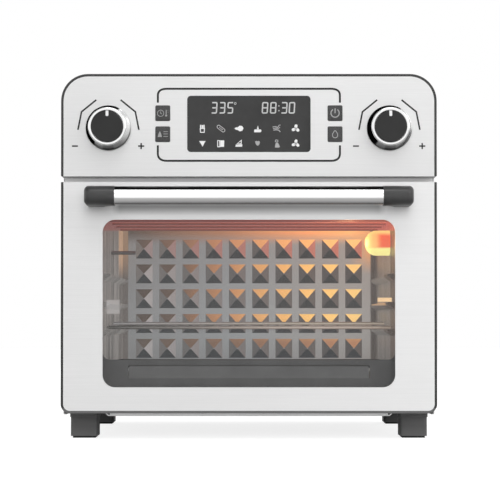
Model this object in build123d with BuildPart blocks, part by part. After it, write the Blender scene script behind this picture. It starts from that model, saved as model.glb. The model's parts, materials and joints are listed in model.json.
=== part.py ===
from build123d import *
import os

# Air fryer oven: a countertop cooker with a drop-down glass door. All sizes are millimetres.
#
# Frame: X to the viewer's right, Y from the front to the back, Z up. The origin lies on the
# worktop under the middle of the whole object. A setback is a depth behind the plane of the
# door's front face; a height is measured up from the worktop.

# Shared
sheet = 1.0  # outer and cavity sheet metal
frame_sheet = 1.5  # front frame, hinge and bracket sheet
press_clearance = 0.05  # radial, for a piece pushed or pinned into another
rest_gap = 0.3  # between a loose piece and what it rests on or presses against
overcut = 1.0  # how far a cut runs past the face it opens

# Housing
body_width = 392.0
body_height = 356.6  # from the housing's lower edge to its top
body_depth = 340.0  # from the door's face to the housing's rear edge
foot_height = 26.0
top_corner_radius = 28.2
lower_corner_radius = 1.5
frame_setback = 26.0  # the front frame stands behind the door and the control panel
bottom_flange = 3.0  # the wrap's inward lip that carries the base pan
rear_inset = 2.0  # the rear panel lies inside the wrap's rear edge
rear_space = 32.0  # between the cavity's back wall and the rear panel
channel_inset = 47.0  # the base pan's channel starts this far inside the housing's sides
channel_drop = 2.6
base_slots = 7
base_slot_pitch = 34.0
base_slot_row_pitch = 90.0
base_slot_width = 5.0
base_slot_length = 60.0
side_vents = 9
side_vent_pitch = 11.0
side_vent_length = 60.0
side_vent_width = 4.0
side_vent_drop = 46.0
side_vent_rear_gap = 78.0  # from the vents' middle to the housing's rear edge
rear_vents = 11
rear_vent_pitch = 14.0
rear_vent_length = 54.0
rear_vent_width = 5.0
rear_vent_drop = 62.0
cable_slot_width = 90.0
cable_slot_height = 12.0
cable_slot_drop = 34.6

# Rear fittings
gland_offset = 140.0
gland_rise = 48.0  # above the housing's lower edge
gland_radius = 8.0  # in the rear panel's hole
gland_lip = 2.0
gland_sides = 6  # of the gland's nut and collar
gland_nut = 3.0
gland_outside = 5.0
cord_hole_radius = 3.6
spacer_offset = 130.0
spacer_drop = 60.0
spacer_radius = 9.0
spacer_length = 8.0
rear_screw_inset = 9.0
rear_screw_rises = (20.0, 170.0, 316.6)  # above the housing's lower edge
rear_screw_radius = 3.4
rear_screw_head = 1.6

# Control panel
panel_height = 107.0
rim = 2.6  # the dark trim seen round the panel and the door
rim_corner = 0.8
display_width = 128.3
display_height = 58.4
display_drop = 52.2  # from the panel's top edge to the display's middle
display_corner = 3.6
display_glass = 3.0
display_flange = 3.0
display_gap = 0.25  # all round the display window and the buttons
button_width = 15.2
button_height = 16.0
button_corner = 1.3
button_gap = 18.15  # between the display window and the buttons
button_rise = 11.0  # the upper and lower buttons' middles from their own middle line
button_drop = 52.0
button_proud = 0.8
button_travel = 0.8
button_flange = 1.5
button_flange_margin = 1.0
button_stem = 5.0
button_stem_width = 4.0
knob_side = 49.4  # from the housing's sides to the knobs' middles
knob_drop = 56.6
knob_radius = 23.5
knob_collar = 2.2  # the straight foot of the knob's skirt
knob_step = 0.6  # the taper starts and ends this far inside the collar and the ring
knob_ring_radius = 20.0
knob_length = 17.0
knob_gap = 0.4
knob_wall = 3.0
knob_web = 6.0  # solid metal between the skirt's hollow and the knob's front
knob_face_radius = 17.2
knob_face_depth = 1.6
knob_face_proud = 0.4
pointer_width = 2.9
pointer_length = 7.2
pointer_depth = 0.6

# Behind the control panel
spindle_radius = 3.0
spindle_end_gap = 0.5
spindle_web = 4.0  # from the end of the knob's bore to the knob's front
bush_wall = 1.5
bush_clearance = 1.5
encoder_size = 13.0
encoder_depth = 6.5
board_setback = 13.0
board_thickness = 1.6
board_end = 18.4  # the display board runs this far past the knobs' middles
board_height = 60.0
board_post_inset = 7.0
post_radius = 3.0
numerals_inset_x = 9.0  # of the numeral block inside the display window's edge
numerals_inset_z = 7.0
push_switch_size = 6.0
push_switch_gap = 0.2
power_board_offset = 95.0
power_board_drop = 54.6
power_board_width = 120.0
power_board_height = 70.0
power_board_post = 12.0
power_board_post_inset = 6.0
component_height = 20.0
transformer_width = 34.0
transformer_height = 30.0
relay_width = 16.0
relay_height = 20.0
relay_gap = 7.0
capacitor_radius = 7.0
component_inset = 8.0  # from the power board's edges

# Door
door_gap = 6.0  # between the door and the control panel
door_rise = 2.6  # the door's lower edge above the housing's
door_thickness = 24.0
door_corner_radius = 9.5
window_side = 43.5  # from the door's side edges to the window
window_height = 174.8
window_rise = 27.0  # above the door's lower edge
window_radius = 13.0
window_lip = 2.0
glass_thickness = 4.0
glass_overlap = 8.0  # of the outer pane behind the window's edge
inner_frame_rise = 16.4
inner_window_margin = 4.0
inner_glass_overlap = 4.5
inner_glass_radius = 6.0
pivot_rise = 8.4  # the hinge pin above the door's lower edge
pivot_setback = 14.0
pin_radius = 3.0
pin_end = 2.0
pin_head = 1.5
pin_head_lip = 1.2
ear_inset = 21.0  # the ears' inner faces inside the housing's sides
ear_thickness = 3.0
ear_radius = 5.5
ear_plate_width = 19.0
leaf_gap = 1.0
leaf_depth = 14.0
leaf_foot = 10.0
trim_foot_depth = 12.0  # the door's lower edge is thinner, to swing clear of the frame
trim_foot_over = 2.0  # the thinner part ends this far above the hinge pin
seal_width = 5.4
seal_margin = 4.0  # round the mouth
seal_lower_margin = 0.6  # below the inner window
seal_radius = 12.0
switch_inset = 22.0
switch_drop = 12.0
switch_width = 10.0
switch_height = 20.0
switch_depth = 12.0
plunger_radius = 1.6

# Handle
handle_reach = 42.0
handle_half_length = 168.7
handle_end_width = 30.2
handle_end_height = 19.9
handle_end_chamfer = 3.8
handle_end_foot = 17.0
handle_end_shoulder = 2.0  # the bracket's straight inner side runs this far behind the bar
handle_end_curve_x = 9.5  # a point on the curve from that side down to the foot
handle_end_curve_y = 4.0
handle_radius = 9.6
handle_wall = 1.2
handle_drop = 16.6  # the bar's middle below the door's upper edge
handle_plug = 10.0
screw_radius = 2.0
screw_length = 11.0
screw_end_gap = 1.0
screw_head = 2.4
screw_head_lip = 1.5
screw_pitch = 10.0
screw_inset = 9.0
screw_sides = 8

# Cavity
cavity_side_margin = 2.5  # each side wall outside the window's edge
cavity_floor_margin = 8.6  # the floor above the window's lower edge
ceiling_margin = 13.6  # the ceiling above the window's upper edge
mouth_radius = 8.0
sill_height = 19.7
back_columns = 10
back_rows = 5
back_side_margin = 26.4  # from a side wall to the outermost pyramids' middles
back_low_margin = 27.6
back_high_margin = 30.2
pyramid_width = 20.4
pyramid_height = 23.2
pyramid_depth = 7.0
pyramid_tip = 1.2
rail_heights = (51.6, 81.0, 111.0)
rail_reach = 7.0
rail_thickness = 7.0
rail_lip = 2.3
rail_inset = 12.0
grille_slots = 20
grille_slot_width = 4.2
grille_start = 24.0
grille_gap = 6.0
grille_margin = 2.0  # the outer slots run this far past the fan

# Heaters
upper_heater_count = 4
heater_radius = 3.5
heater_drop = 6.5  # the upper rods' middle below the ceiling
upper_heater_front_gap = 67.5  # from the mouth to the first rod's middle
upper_heater_rear_gap = 36.9  # from the last rod's middle to the back wall
lower_heater_count = 3
lower_heater_radius = 3.3
lower_heater_gap = 1.2  # above the crumb tray's sides
lower_heater_front_gap = 56.5
lower_heater_rear_gap = 59.0
rod_hole_clearance = 1.0
socket_size = 15.0
socket_length = 12.0
socket_floor = 2.0

# Convection fan above the ceiling
fan_radius = 70.0
fan_shift = 5.75  # of the fan's axis behind the cavity's middle
fan_height = 15.0
fan_blades = 12
fan_hub_radius = 7.0
fan_lift = 4.0
fan_top_gap = 4.0
fan_disc = 1.0
blade_thickness = 1.2
blade_root = 1.0  # how far a blade runs into the hub
chamber_gap = 12.0
chamber_flange = 8.0
bearing_radius = 6.0
shaft_radius = 2.5
motor_radius = 29.0
motor_height = 36.0
motor_chamfer = 5.0
motor_stand = 14.0
bracket_gap = 14.0
bracket_foot = 12.0
bracket_depth = 28.0
cooling_radius = 36.0
cooling_height = 10.0
cooling_blades = 7
cooling_hub_radius = 6.0
cooling_gap = 4.0

# Lamp and probe
lamp_front_gap = 72.5  # from the mouth to the lamp's middle
lamp_rise = 146.6  # above the cavity floor
lamp_radius = 13.8
lamp_reach = 27.0
lamp_flange = 3.0
dome_bands = 6  # flat bands from the lamp's side to its tip
lamp_socket_inset = 2.0
lamp_socket_length = 16.0
probe_front_gap = 114.5  # from the mouth to the probe's middle
probe_rise = 137.7  # above the cavity floor
probe_radius = 2.0
probe_reach = 27.0
probe_tail = 12.0
probe_nut_radius = 5.0
probe_nut = 4.0
probe_nut_sides = 6
probe_clearance = 0.1

# Wire rack
rack_side_gap = 5.0  # from the frame rod's middle to the side wall
rack_front_gap = 12.5  # from the frame rod's middle to the mouth
rack_rear_gap = 8.0  # from the frame rod's middle to the pyramids' tips
rack_rod_radius = 2.2
rack_wire_radius = 1.1
rod_sides = 8
wire_sides = 4
rack_bar_radius = 1.7
rack_bar_inset = 6.5
rack_corner = 13.0
rack_wires = 15
rack_wire_margin = 20.5
rack_cross_rods = 2
weld = 0.3  # how far crossing wires are welded into each other

# Crumb tray
tray_inset = 28.2  # of the tray's sides inside the cavity's
tray_rear_gap = 17.0
tray_front_height = 12.8
tray_side_height = 8.0
tray_sheet = 0.8
tray_corner = 1.5
tray_slot_gap = 1.0

# Feet
foot_inset = 21.4  # of a foot's middle inside the housing's side
rear_foot_inset = 18.5
foot_width = 30.0
foot_depth = 32.0
foot_taper = 1.5
foot_flange = 4.0
foot_corner = 3.0
front_foot_setback = 46.0
rear_foot_rear_gap = 50.0  # from the rear feet's middles to the housing's rear edge
pad_thickness = 2.0
pad_inset = 3.0

# Derived places
total_depth = handle_reach + body_depth - rear_inset + spacer_length
face_y = handle_reach - total_depth / 2
wrap_bottom = foot_height - sheet
body_top = wrap_bottom + body_height
body_half = body_width / 2
inner_half = body_half - sheet
fascia_half = body_half - rim
panel_bottom = body_top - panel_height
door_top = panel_bottom - door_gap
door_bottom = wrap_bottom + door_rise
window_half = body_half - window_side
window_bottom = door_bottom + window_rise
window_top = window_bottom + window_height
pivot_z = door_bottom + pivot_rise
pivot_y = face_y + pivot_setback
handle_z = door_top - handle_drop
handle_setback = handle_radius - handle_reach
screw_x = handle_half_length - screw_inset
display_z = body_top - display_drop
button_offset = display_width / 2 + button_gap + button_width / 2
button_z = body_top - button_drop
knob_offset = body_half - knob_side
knob_z = body_top - knob_drop
cavity_half = window_half + cavity_side_margin
cavity_width = 2 * cavity_half
cavity_floor_z = window_bottom + cavity_floor_margin
ceiling_z = window_top + ceiling_margin
cavity_height = ceiling_z - cavity_floor_z
sill_z = cavity_floor_z + sill_height
mouth_setback = frame_setback + frame_sheet
rear_setback = body_depth - rear_inset
back_setback = rear_setback - sheet - rear_space
cavity_depth = back_setback - mouth_setback
fan_setback = mouth_setback + cavity_depth / 2 + fan_shift
lower_heater_rise = tray_side_height + lower_heater_gap + lower_heater_radius
tray_half_width = cavity_half - tray_inset
bush_radius = spindle_radius + bush_wall
ear_offset = body_half - ear_inset

BLACK = Color(0.07, 0.07, 0.075)
STEEL = Color(0.76, 0.76, 0.77)
DARK = Color(0.28, 0.28, 0.29)
CERAMIC = Color(0.93, 0.91, 0.86)
BOARD = Color(0.1, 0.35, 0.2)
GLOW = Color(0.85, 0.3, 0.2)
LAMP = Color(1.0, 0.8, 0.4)
CHROME = Color(0.85, 0.85, 0.86)
CLEAR = Color(0.5, 0.55, 0.55, 0.4)


def y_at(setback):
    """The row's Y at a setback behind the door's face."""
    return face_y + setback


def front_plane(setback):
    """The upright plane at a setback, seen from the front: its own axes are X and Z."""
    return Plane.XZ.offset(-y_at(setback))


def side_plane(x):
    """The upright plane across X, seen from the right: its own axes are Y and Z."""
    return Plane.YZ.offset(x)


def rounded(half_width, low, high, low_radius, high_radius):
    """An upright rectangle about X = 0 with rounded lower and upper corners."""
    with BuildSketch(mode=Mode.PRIVATE) as shape:
        with BuildLine():
            FilletPolyline(
                (-half_width, low),
                (half_width, low),
                (half_width, high),
                (-half_width, high),
                radius=[low_radius, low_radius, high_radius, high_radius],
                close=True,
            )
        make_face()
    return shape.sketch


def housing_inside():
    """The housing's cross-section inside its wrap."""
    return rounded(
        inner_half, wrap_bottom + sheet, body_top - sheet, 0, top_corner_radius - sheet
    )


def window_outline(margin):
    """The door window's outline, grown by a margin."""
    return rounded(
        window_half + margin,
        window_bottom - margin,
        window_top + margin,
        window_radius + margin,
        window_radius + margin,
    )


def save(builder, name, color):
    """Labels one finished sub-part and writes its STEP file."""
    builder.part.label = name
    builder.part.color = color
    export_step(builder.part, f"parts/{name}.step")


os.makedirs("parts", exist_ok=True)

# Housing wrap: one bent sheet over both sides and the top, with lips under the base pan
side_vent_z = body_top - side_vent_drop - (side_vents - 1) * side_vent_pitch / 2
with BuildPart() as housing_wrap:
    with BuildSketch(front_plane(frame_setback)):
        add(rounded(body_half, wrap_bottom, body_top, lower_corner_radius, top_corner_radius))
        add(housing_inside(), mode=Mode.SUBTRACT)
        add(
            rounded(body_half - bottom_flange, wrap_bottom, wrap_bottom + sheet, 0, 0),
            mode=Mode.SUBTRACT,
        )
    extrude(amount=-(body_depth - frame_setback))
    with BuildSketch(side_plane(-body_half)):
        with Locations((y_at(body_depth - side_vent_rear_gap), side_vent_z)):
            with GridLocations(0, side_vent_pitch, 1, side_vents):
                Rectangle(side_vent_length, side_vent_width)
    extrude(amount=body_width, mode=Mode.SUBTRACT)
save(housing_wrap, "housing_wrap", STEEL)

# Rear panel: a flat plate inside the wrap, with vent slots and the cord's hole
gland_place = (-gland_offset, wrap_bottom + gland_rise)
with BuildPart() as rear_panel:
    with BuildSketch(front_plane(rear_setback - sheet)):
        add(housing_inside())
        with Locations((0, body_top - rear_vent_drop)):
            with GridLocations(rear_vent_pitch, 0, rear_vents, 1):
                Rectangle(rear_vent_width, rear_vent_length, mode=Mode.SUBTRACT)
        with Locations(gland_place):
            Circle(gland_radius, mode=Mode.SUBTRACT)
    extrude(amount=-sheet)
save(rear_panel, "rear_panel", STEEL)

# Base pan: rests on the wrap's lips, with a shallow channel between the feet
channel_half = body_half - channel_inset
with BuildPart() as base_pan:
    with BuildSketch(front_plane(mouth_setback)):
        with BuildLine():
            Polyline(
                (-inner_half, foot_height),
                (-channel_half - channel_drop, foot_height),
                (-channel_half, foot_height - channel_drop),
                (channel_half, foot_height - channel_drop),
                (channel_half + channel_drop, foot_height),
                (inner_half, foot_height),
                (inner_half, foot_height + sheet),
                (channel_half + channel_drop - sheet / 2, foot_height + sheet),
                (channel_half - sheet / 2, foot_height + sheet - channel_drop),
                (-channel_half + sheet / 2, foot_height + sheet - channel_drop),
                (-channel_half - channel_drop + sheet / 2, foot_height + sheet),
                (-inner_half, foot_height + sheet),
                close=True,
            )
        make_face()
    extrude(amount=-(rear_setback - sheet - mouth_setback))
    with BuildSketch(Plane.XY.offset(foot_height - channel_drop)):
        with Locations((0, y_at(body_depth / 2))):
            with GridLocations(base_slot_pitch, base_slot_row_pitch, base_slots, 2):
                Rectangle(base_slot_width, base_slot_length)
    extrude(amount=sheet, mode=Mode.SUBTRACT)
save(base_pan, "base_pan", DARK)

# Front frame: the sheet that joins wrap, pan and cavity, with the mouth and the tray's slot
tray_slot_half = tray_half_width + tray_slot_gap
tray_slot_top = cavity_floor_z + tray_front_height + tray_slot_gap
switch_place = (inner_half - switch_inset, door_top - switch_drop)
with BuildPart() as front_frame:
    with BuildSketch(front_plane(frame_setback)):
        add(housing_inside())
        add(
            rounded(cavity_half, sill_z, ceiling_z, mouth_radius, mouth_radius),
            mode=Mode.SUBTRACT,
        )
        add(
            rounded(tray_slot_half, cavity_floor_z, tray_slot_top, 0, 0),
            mode=Mode.SUBTRACT,
        )
        with Locations((0, body_top - cable_slot_drop)):
            Rectangle(cable_slot_width, cable_slot_height, mode=Mode.SUBTRACT)
        with Locations(switch_place):
            Circle(plunger_radius + rest_gap, mode=Mode.SUBTRACT)
    extrude(amount=-frame_sheet)
save(front_frame, "front_frame", DARK)

# Cavity: floor, ceiling, two sides with pressed rack rails, and the embossed back wall
cavity_middle_y = y_at(mouth_setback + cavity_depth / 2)
with BuildPart() as cavity_floor:
    with BuildSketch(Plane.XY.offset(cavity_floor_z - sheet)):
        with Locations((0, cavity_middle_y)):
            Rectangle(cavity_width, cavity_depth)
    extrude(amount=sheet)
save(cavity_floor, "cavity_floor", DARK)

fan_y = y_at(fan_setback)
grille_length = (fan_radius + grille_margin - grille_start - grille_gap) / 2
with BuildPart() as cavity_ceiling:
    with BuildSketch(Plane.XY.offset(ceiling_z)):
        with Locations((0, cavity_middle_y)):
            Rectangle(cavity_width, cavity_depth)
        for ring_start in (grille_start, grille_start + grille_length + grille_gap):
            with Locations((0, fan_y)):
                with PolarLocations(ring_start + grille_length / 2, grille_slots):
                    Rectangle(grille_length, grille_slot_width, mode=Mode.SUBTRACT)
    extrude(amount=sheet)
save(cavity_ceiling, "cavity_ceiling", DARK)


def rod_places(front_gap, rear_gap, count, height):
    """The middles of a row of heater rods between the mouth and the back wall, as Y and Z."""
    pitch = (cavity_depth - front_gap - rear_gap) / (count - 1)
    return [(y_at(mouth_setback + front_gap + pitch * step), height) for step in range(count)]


upper_rods = rod_places(
    upper_heater_front_gap, upper_heater_rear_gap, upper_heater_count, ceiling_z - heater_drop
)
lower_rods = rod_places(
    lower_heater_front_gap,
    lower_heater_rear_gap,
    lower_heater_count,
    cavity_floor_z + lower_heater_rise,
)
lamp_y = y_at(mouth_setback + lamp_front_gap)
lamp_z = cavity_floor_z + lamp_rise
probe_place = (y_at(mouth_setback + probe_front_gap), cavity_floor_z + probe_rise)


def cavity_side(side):
    """One side wall: a flat sheet with rod holes and three pressed rails that carry the rack."""
    wall_x = side * cavity_half
    with BuildPart() as wall:
        with BuildSketch(side_plane(wall_x)):
            with Locations((cavity_middle_y, cavity_floor_z + cavity_height / 2)):
                Rectangle(cavity_depth, cavity_height + 2 * sheet)
            with Locations(*upper_rods):
                Circle(heater_radius + rod_hole_clearance, mode=Mode.SUBTRACT)
            with Locations(*lower_rods):
                Circle(lower_heater_radius + rod_hole_clearance, mode=Mode.SUBTRACT)
            if side > 0:
                with Locations((lamp_y, lamp_z)):
                    Circle(lamp_radius, mode=Mode.SUBTRACT)
            else:
                with Locations(probe_place):
                    Circle(probe_radius + probe_clearance, mode=Mode.SUBTRACT)
        extrude(amount=side * sheet)
        for height in rail_heights:
            top = cavity_floor_z + height
            with BuildSketch(front_plane(mouth_setback + rail_inset)):
                with BuildLine():
                    Polyline(
                        (wall_x, top),
                        (wall_x - side * rail_reach, top),
                        (wall_x - side * rail_reach, top - rail_lip),
                        (wall_x, top - rail_thickness),
                        close=True,
                    )
                make_face()
            extrude(amount=-(cavity_depth - 2 * rail_inset))
    return wall


save(cavity_side(-1), "cavity_side_left", DARK)
save(cavity_side(1), "cavity_side_right", DARK)


def pyramid(width, height, depth, tip):
    """A pressed pyramid standing towards the front from Z = 0 of its own plane.

    It is what two ridges share that cross at right angles, so all its faces are flat.
    """
    with BuildPart(mode=Mode.PRIVATE) as shape:
        with BuildSketch(Plane.XZ):
            with BuildLine():
                Polyline(
                    (-width / 2, 0), (width / 2, 0), (tip / 2, depth), (-tip / 2, depth), close=True
                )
            make_face()
        extrude(amount=height / 2, both=True)
        with BuildSketch(Plane.YZ):
            with BuildLine():
                Polyline(
                    (-height / 2, 0), (height / 2, 0), (tip / 2, depth), (-tip / 2, depth), close=True
                )
            make_face()
        extrude(amount=width / 2, both=True, mode=Mode.INTERSECT)
    return shape.part


pyramid_pitch_x = (cavity_width - 2 * back_side_margin) / (back_columns - 1)
pyramid_pitch_z = (cavity_height - back_low_margin - back_high_margin) / (back_rows - 1)
pyramids_z = (cavity_floor_z + back_low_margin + ceiling_z - back_high_margin) / 2
boss = pyramid(pyramid_width, pyramid_height, pyramid_depth, pyramid_tip)
dent = pyramid(
    pyramid_width - 2 * sheet,
    pyramid_height - 2 * sheet,
    pyramid_depth - sheet,
    pyramid_tip / 2,
)
with BuildPart() as cavity_back:
    with BuildSketch(front_plane(back_setback)):
        add(rounded(cavity_half + sheet, cavity_floor_z - sheet, ceiling_z + sheet, 0, 0))
    extrude(amount=-sheet)
    with Locations(front_plane(back_setback) * Location((0, pyramids_z, 0))):
        with GridLocations(pyramid_pitch_x, pyramid_pitch_z, back_columns, back_rows):
            add(boss)
    with Locations(front_plane(back_setback + sheet) * Location((0, pyramids_z, 0))):
        with GridLocations(pyramid_pitch_x, pyramid_pitch_z, back_columns, back_rows):
            add(dent, mode=Mode.SUBTRACT)
save(cavity_back, "cavity_back", STEEL)


def heater_rods(places, radius):
    """Straight rods right through both side walls and into the sockets outside."""
    half_length = cavity_half + sheet + socket_length - socket_floor
    with BuildPart() as rods:
        with BuildSketch(side_plane(-half_length)):
            with Locations(*places):
                Circle(radius)
        extrude(amount=2 * half_length)
    return rods


save(heater_rods(upper_rods, heater_radius), "upper_heaters", GLOW)
save(heater_rods(lower_rods, lower_heater_radius), "lower_heaters", GLOW)

# Heater sockets: square ceramic cups on the side walls' outer faces, one for each rod end
with BuildPart() as heater_sockets:
    for side in (-1, 1):
        with BuildSketch(side_plane(side * (cavity_half + sheet))):
            with Locations(*upper_rods, *lower_rods):
                Rectangle(socket_size, socket_size)
        extrude(amount=side * socket_length)
        with BuildSketch(side_plane(side * (cavity_half + sheet))):
            with Locations(*upper_rods):
                Circle(heater_radius + press_clearance)
            with Locations(*lower_rods):
                Circle(lower_heater_radius + press_clearance)
        extrude(amount=side * (socket_length - socket_floor), mode=Mode.SUBTRACT)
save(heater_sockets, "heater_sockets", CERAMIC)

# Fan chamber: a shallow round pan over the ceiling's grille
chamber_radius = fan_radius + chamber_gap
fan_low = ceiling_z + sheet + fan_lift
chamber_top = fan_low + fan_height + fan_top_gap + sheet
with BuildPart() as fan_chamber:
    with BuildSketch(Plane.XY.offset(ceiling_z + sheet)):
        with Locations((0, fan_y)):
            Circle(chamber_radius + chamber_flange)
            Circle(chamber_radius, mode=Mode.SUBTRACT)
    extrude(amount=sheet)
    with BuildSketch(Plane.XY.offset(ceiling_z + sheet)):
        with Locations((0, fan_y)):
            Circle(chamber_radius + sheet)
            Circle(chamber_radius, mode=Mode.SUBTRACT)
    extrude(amount=chamber_top - ceiling_z - sheet)
    with BuildSketch(Plane.XY.offset(chamber_top - sheet)):
        with Locations((0, fan_y)):
            Circle(chamber_radius + sheet)
            Circle(bearing_radius, mode=Mode.SUBTRACT)
    extrude(amount=sheet)
save(fan_chamber, "fan_chamber", DARK)

# Motor bracket: a bridge that keeps the motor off the hot pan
bridge_half = motor_radius + bracket_gap
motor_low = chamber_top + motor_stand
with BuildPart() as motor_bracket:
    with BuildSketch(front_plane(fan_setback - bracket_depth / 2)):
        with BuildLine():
            Polyline(
                (-bridge_half - bracket_foot, chamber_top),
                (-bridge_half, chamber_top),
                (-bridge_half, motor_low - frame_sheet),
                (bridge_half, motor_low - frame_sheet),
                (bridge_half, chamber_top),
                (bridge_half + bracket_foot, chamber_top),
                (bridge_half + bracket_foot, chamber_top + frame_sheet),
                (bridge_half + frame_sheet, chamber_top + frame_sheet),
                (bridge_half + frame_sheet, motor_low),
                (-bridge_half - frame_sheet, motor_low),
                (-bridge_half - frame_sheet, chamber_top + frame_sheet),
                (-bridge_half - bracket_foot, chamber_top + frame_sheet),
                close=True,
            )
        make_face()
    extrude(amount=-bracket_depth)
    with BuildSketch(Plane.XY.offset(motor_low - frame_sheet)):
        with Locations((0, fan_y)):
            Circle(bearing_radius)
    extrude(amount=frame_sheet, mode=Mode.SUBTRACT)
save(motor_bracket, "motor_bracket", STEEL)

# Motor, its through shaft, the convection fan below it and its cooling fan above
with BuildPart() as fan_motor:
    with BuildSketch(Plane.XY.offset(motor_low)):
        with Locations((0, fan_y)):
            Rectangle(2 * motor_radius, 2 * motor_radius)
        chamfer(vertices(), motor_chamfer)
        with Locations((0, fan_y)):
            Circle(shaft_radius + press_clearance, mode=Mode.SUBTRACT)
    extrude(amount=motor_height)
save(fan_motor, "fan_motor", BLACK)

cooling_low = motor_low + motor_height + cooling_gap
shaft_top = cooling_low + cooling_height
with BuildPart() as fan_shaft:
    with BuildSketch(Plane.XY.offset(fan_low)):
        with Locations((0, fan_y)):
            Circle(shaft_radius)
    extrude(amount=shaft_top - fan_low)
save(fan_shaft, "fan_shaft", STEEL)


def impeller(low, radius, height, blades, hub_radius):
    """A radial fan: a flat disc with upright blades and a hub bored for the shaft."""
    with BuildPart() as wheel:
        with BuildSketch(Plane.XY.offset(low + height - fan_disc)):
            with Locations((0, fan_y)):
                Circle(radius)
        extrude(amount=fan_disc)
        with BuildSketch(Plane.XY.offset(low)):
            with Locations((0, fan_y)):
                with PolarLocations((radius + hub_radius - blade_root) / 2, blades):
                    Rectangle(radius - hub_radius + blade_root, blade_thickness)
                Circle(hub_radius)
        extrude(amount=height)
        with BuildSketch(Plane.XY.offset(low)):
            with Locations((0, fan_y)):
                Circle(shaft_radius)
        extrude(amount=height, mode=Mode.SUBTRACT)
    return wheel


save(
    impeller(fan_low, fan_radius, fan_height, fan_blades, fan_hub_radius),
    "convection_fan",
    STEEL,
)
save(
    impeller(cooling_low, cooling_radius, cooling_height, cooling_blades, cooling_hub_radius),
    "cooling_fan",
    DARK,
)

# Lamp: a glass dome inside the right wall and its socket outside
dome_x = cavity_half - lamp_reach + lamp_radius
dome_side = Vector(0, lamp_radius)
dome_arc = [dome_side.rotate(Axis.Z, 90 * band / dome_bands) for band in range(dome_bands + 1)]
with BuildPart() as lamp_glass:
    with BuildSketch(Plane.XY.offset(lamp_z)):
        with BuildLine():
            Polyline(
                (cavity_half + sheet, lamp_y),
                (cavity_half + sheet, lamp_y + lamp_radius),
                *[(dome_x + point.X, lamp_y + point.Y) for point in dome_arc],
                close=True,
            )
        make_face()
    revolve(axis=Axis((0, lamp_y, lamp_z), (1, 0, 0)))
save(lamp_glass, "lamp_glass", LAMP)

with BuildPart() as lamp_socket:
    with BuildSketch(side_plane(cavity_half + sheet)):
        with Locations((lamp_y, lamp_z)):
            Circle(lamp_radius + lamp_flange)
    extrude(amount=lamp_flange)
    with BuildSketch(side_plane(cavity_half + sheet + lamp_flange)):
        with Locations((lamp_y, lamp_z)):
            Circle(lamp_radius - lamp_socket_inset)
    extrude(amount=lamp_socket_length)
save(lamp_socket, "lamp_socket", CERAMIC)

# Temperature probe: a thin rod through the left wall with its clamping nut outside
with BuildPart() as temperature_probe:
    with BuildSketch(side_plane(-cavity_half - probe_tail)):
        with Locations(probe_place):
            Circle(probe_radius)
    extrude(amount=probe_tail + probe_reach)
    with BuildSketch(side_plane(-cavity_half - sheet)):
        with Locations(probe_place):
            RegularPolygon(probe_nut_radius, probe_nut_sides)
    extrude(amount=-probe_nut)
save(temperature_probe, "temperature_probe", STEEL)

# Wire rack: a welded frame rod, wires bent down over its front, and a bar across their top
rack_half_width = cavity_half - rack_side_gap
rack_front_y = y_at(mouth_setback + rack_front_gap)
rack_rear_y = y_at(back_setback - pyramid_depth - rack_rear_gap)
rack_depth = rack_rear_y - rack_front_y
rack_z = cavity_floor_z + rail_heights[0] + rest_gap + rack_rod_radius
wire_reach = rack_rod_radius + rack_wire_radius - weld
wire_z = rack_z + wire_reach
wire_pitch = 2 * (rack_half_width - rack_wire_margin) / (rack_wires - 1)
bar_half_length = rack_half_width - rack_bar_inset


def rod_section(radius, sides=rod_sides):
    """A rod section with flats on all four sides, so that rods weld flat on flat."""
    return RegularPolygon(radius, sides, major_radius=False, rotation=180 / sides)


with BuildPart(mode=Mode.PRIVATE) as rack_wire:
    with BuildLine() as wire_path:
        Polyline(
            (0, rack_rear_y + rack_rod_radius, wire_z),
            (0, rack_front_y - wire_reach, wire_z),
            (0, rack_front_y - wire_reach, rack_z - rack_rod_radius),
        )
    with BuildSketch(Plane(wire_path.line @ 0, z_dir=wire_path.line % 0)):
        rod_section(rack_wire_radius, wire_sides)
    sweep(path=wire_path.line, transition=Transition.RIGHT)
with BuildPart() as wire_rack:
    with BuildLine() as frame_path:
        FilletPolyline(
            (rack_half_width, rack_front_y, rack_z),
            (rack_half_width, rack_rear_y, rack_z),
            (-rack_half_width, rack_rear_y, rack_z),
            (-rack_half_width, rack_front_y, rack_z),
            radius=rack_corner,
            close=True,
        )
    with BuildSketch(Plane(frame_path.line @ 0, z_dir=frame_path.line % 0)):
        rod_section(rack_rod_radius)
    sweep(path=frame_path.line)
    with BuildSketch(side_plane(-bar_half_length)):
        with Locations((rack_front_y, wire_z + rack_wire_radius + rack_bar_radius - weld)):
            rod_section(rack_bar_radius)
    extrude(amount=2 * bar_half_length)
    with BuildSketch(side_plane(-rack_half_width)):
        for step in range(rack_cross_rods):
            cross_y = rack_front_y + (step + 1) * rack_depth / (rack_cross_rods + 1)
            with Locations((cross_y, rack_z)):
                rod_section(rack_rod_radius)
    extrude(amount=2 * rack_half_width)
    with GridLocations(wire_pitch, 0, rack_wires, 1):
        add(rack_wire.part)
save(wire_rack, "wire_rack", STEEL)

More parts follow.
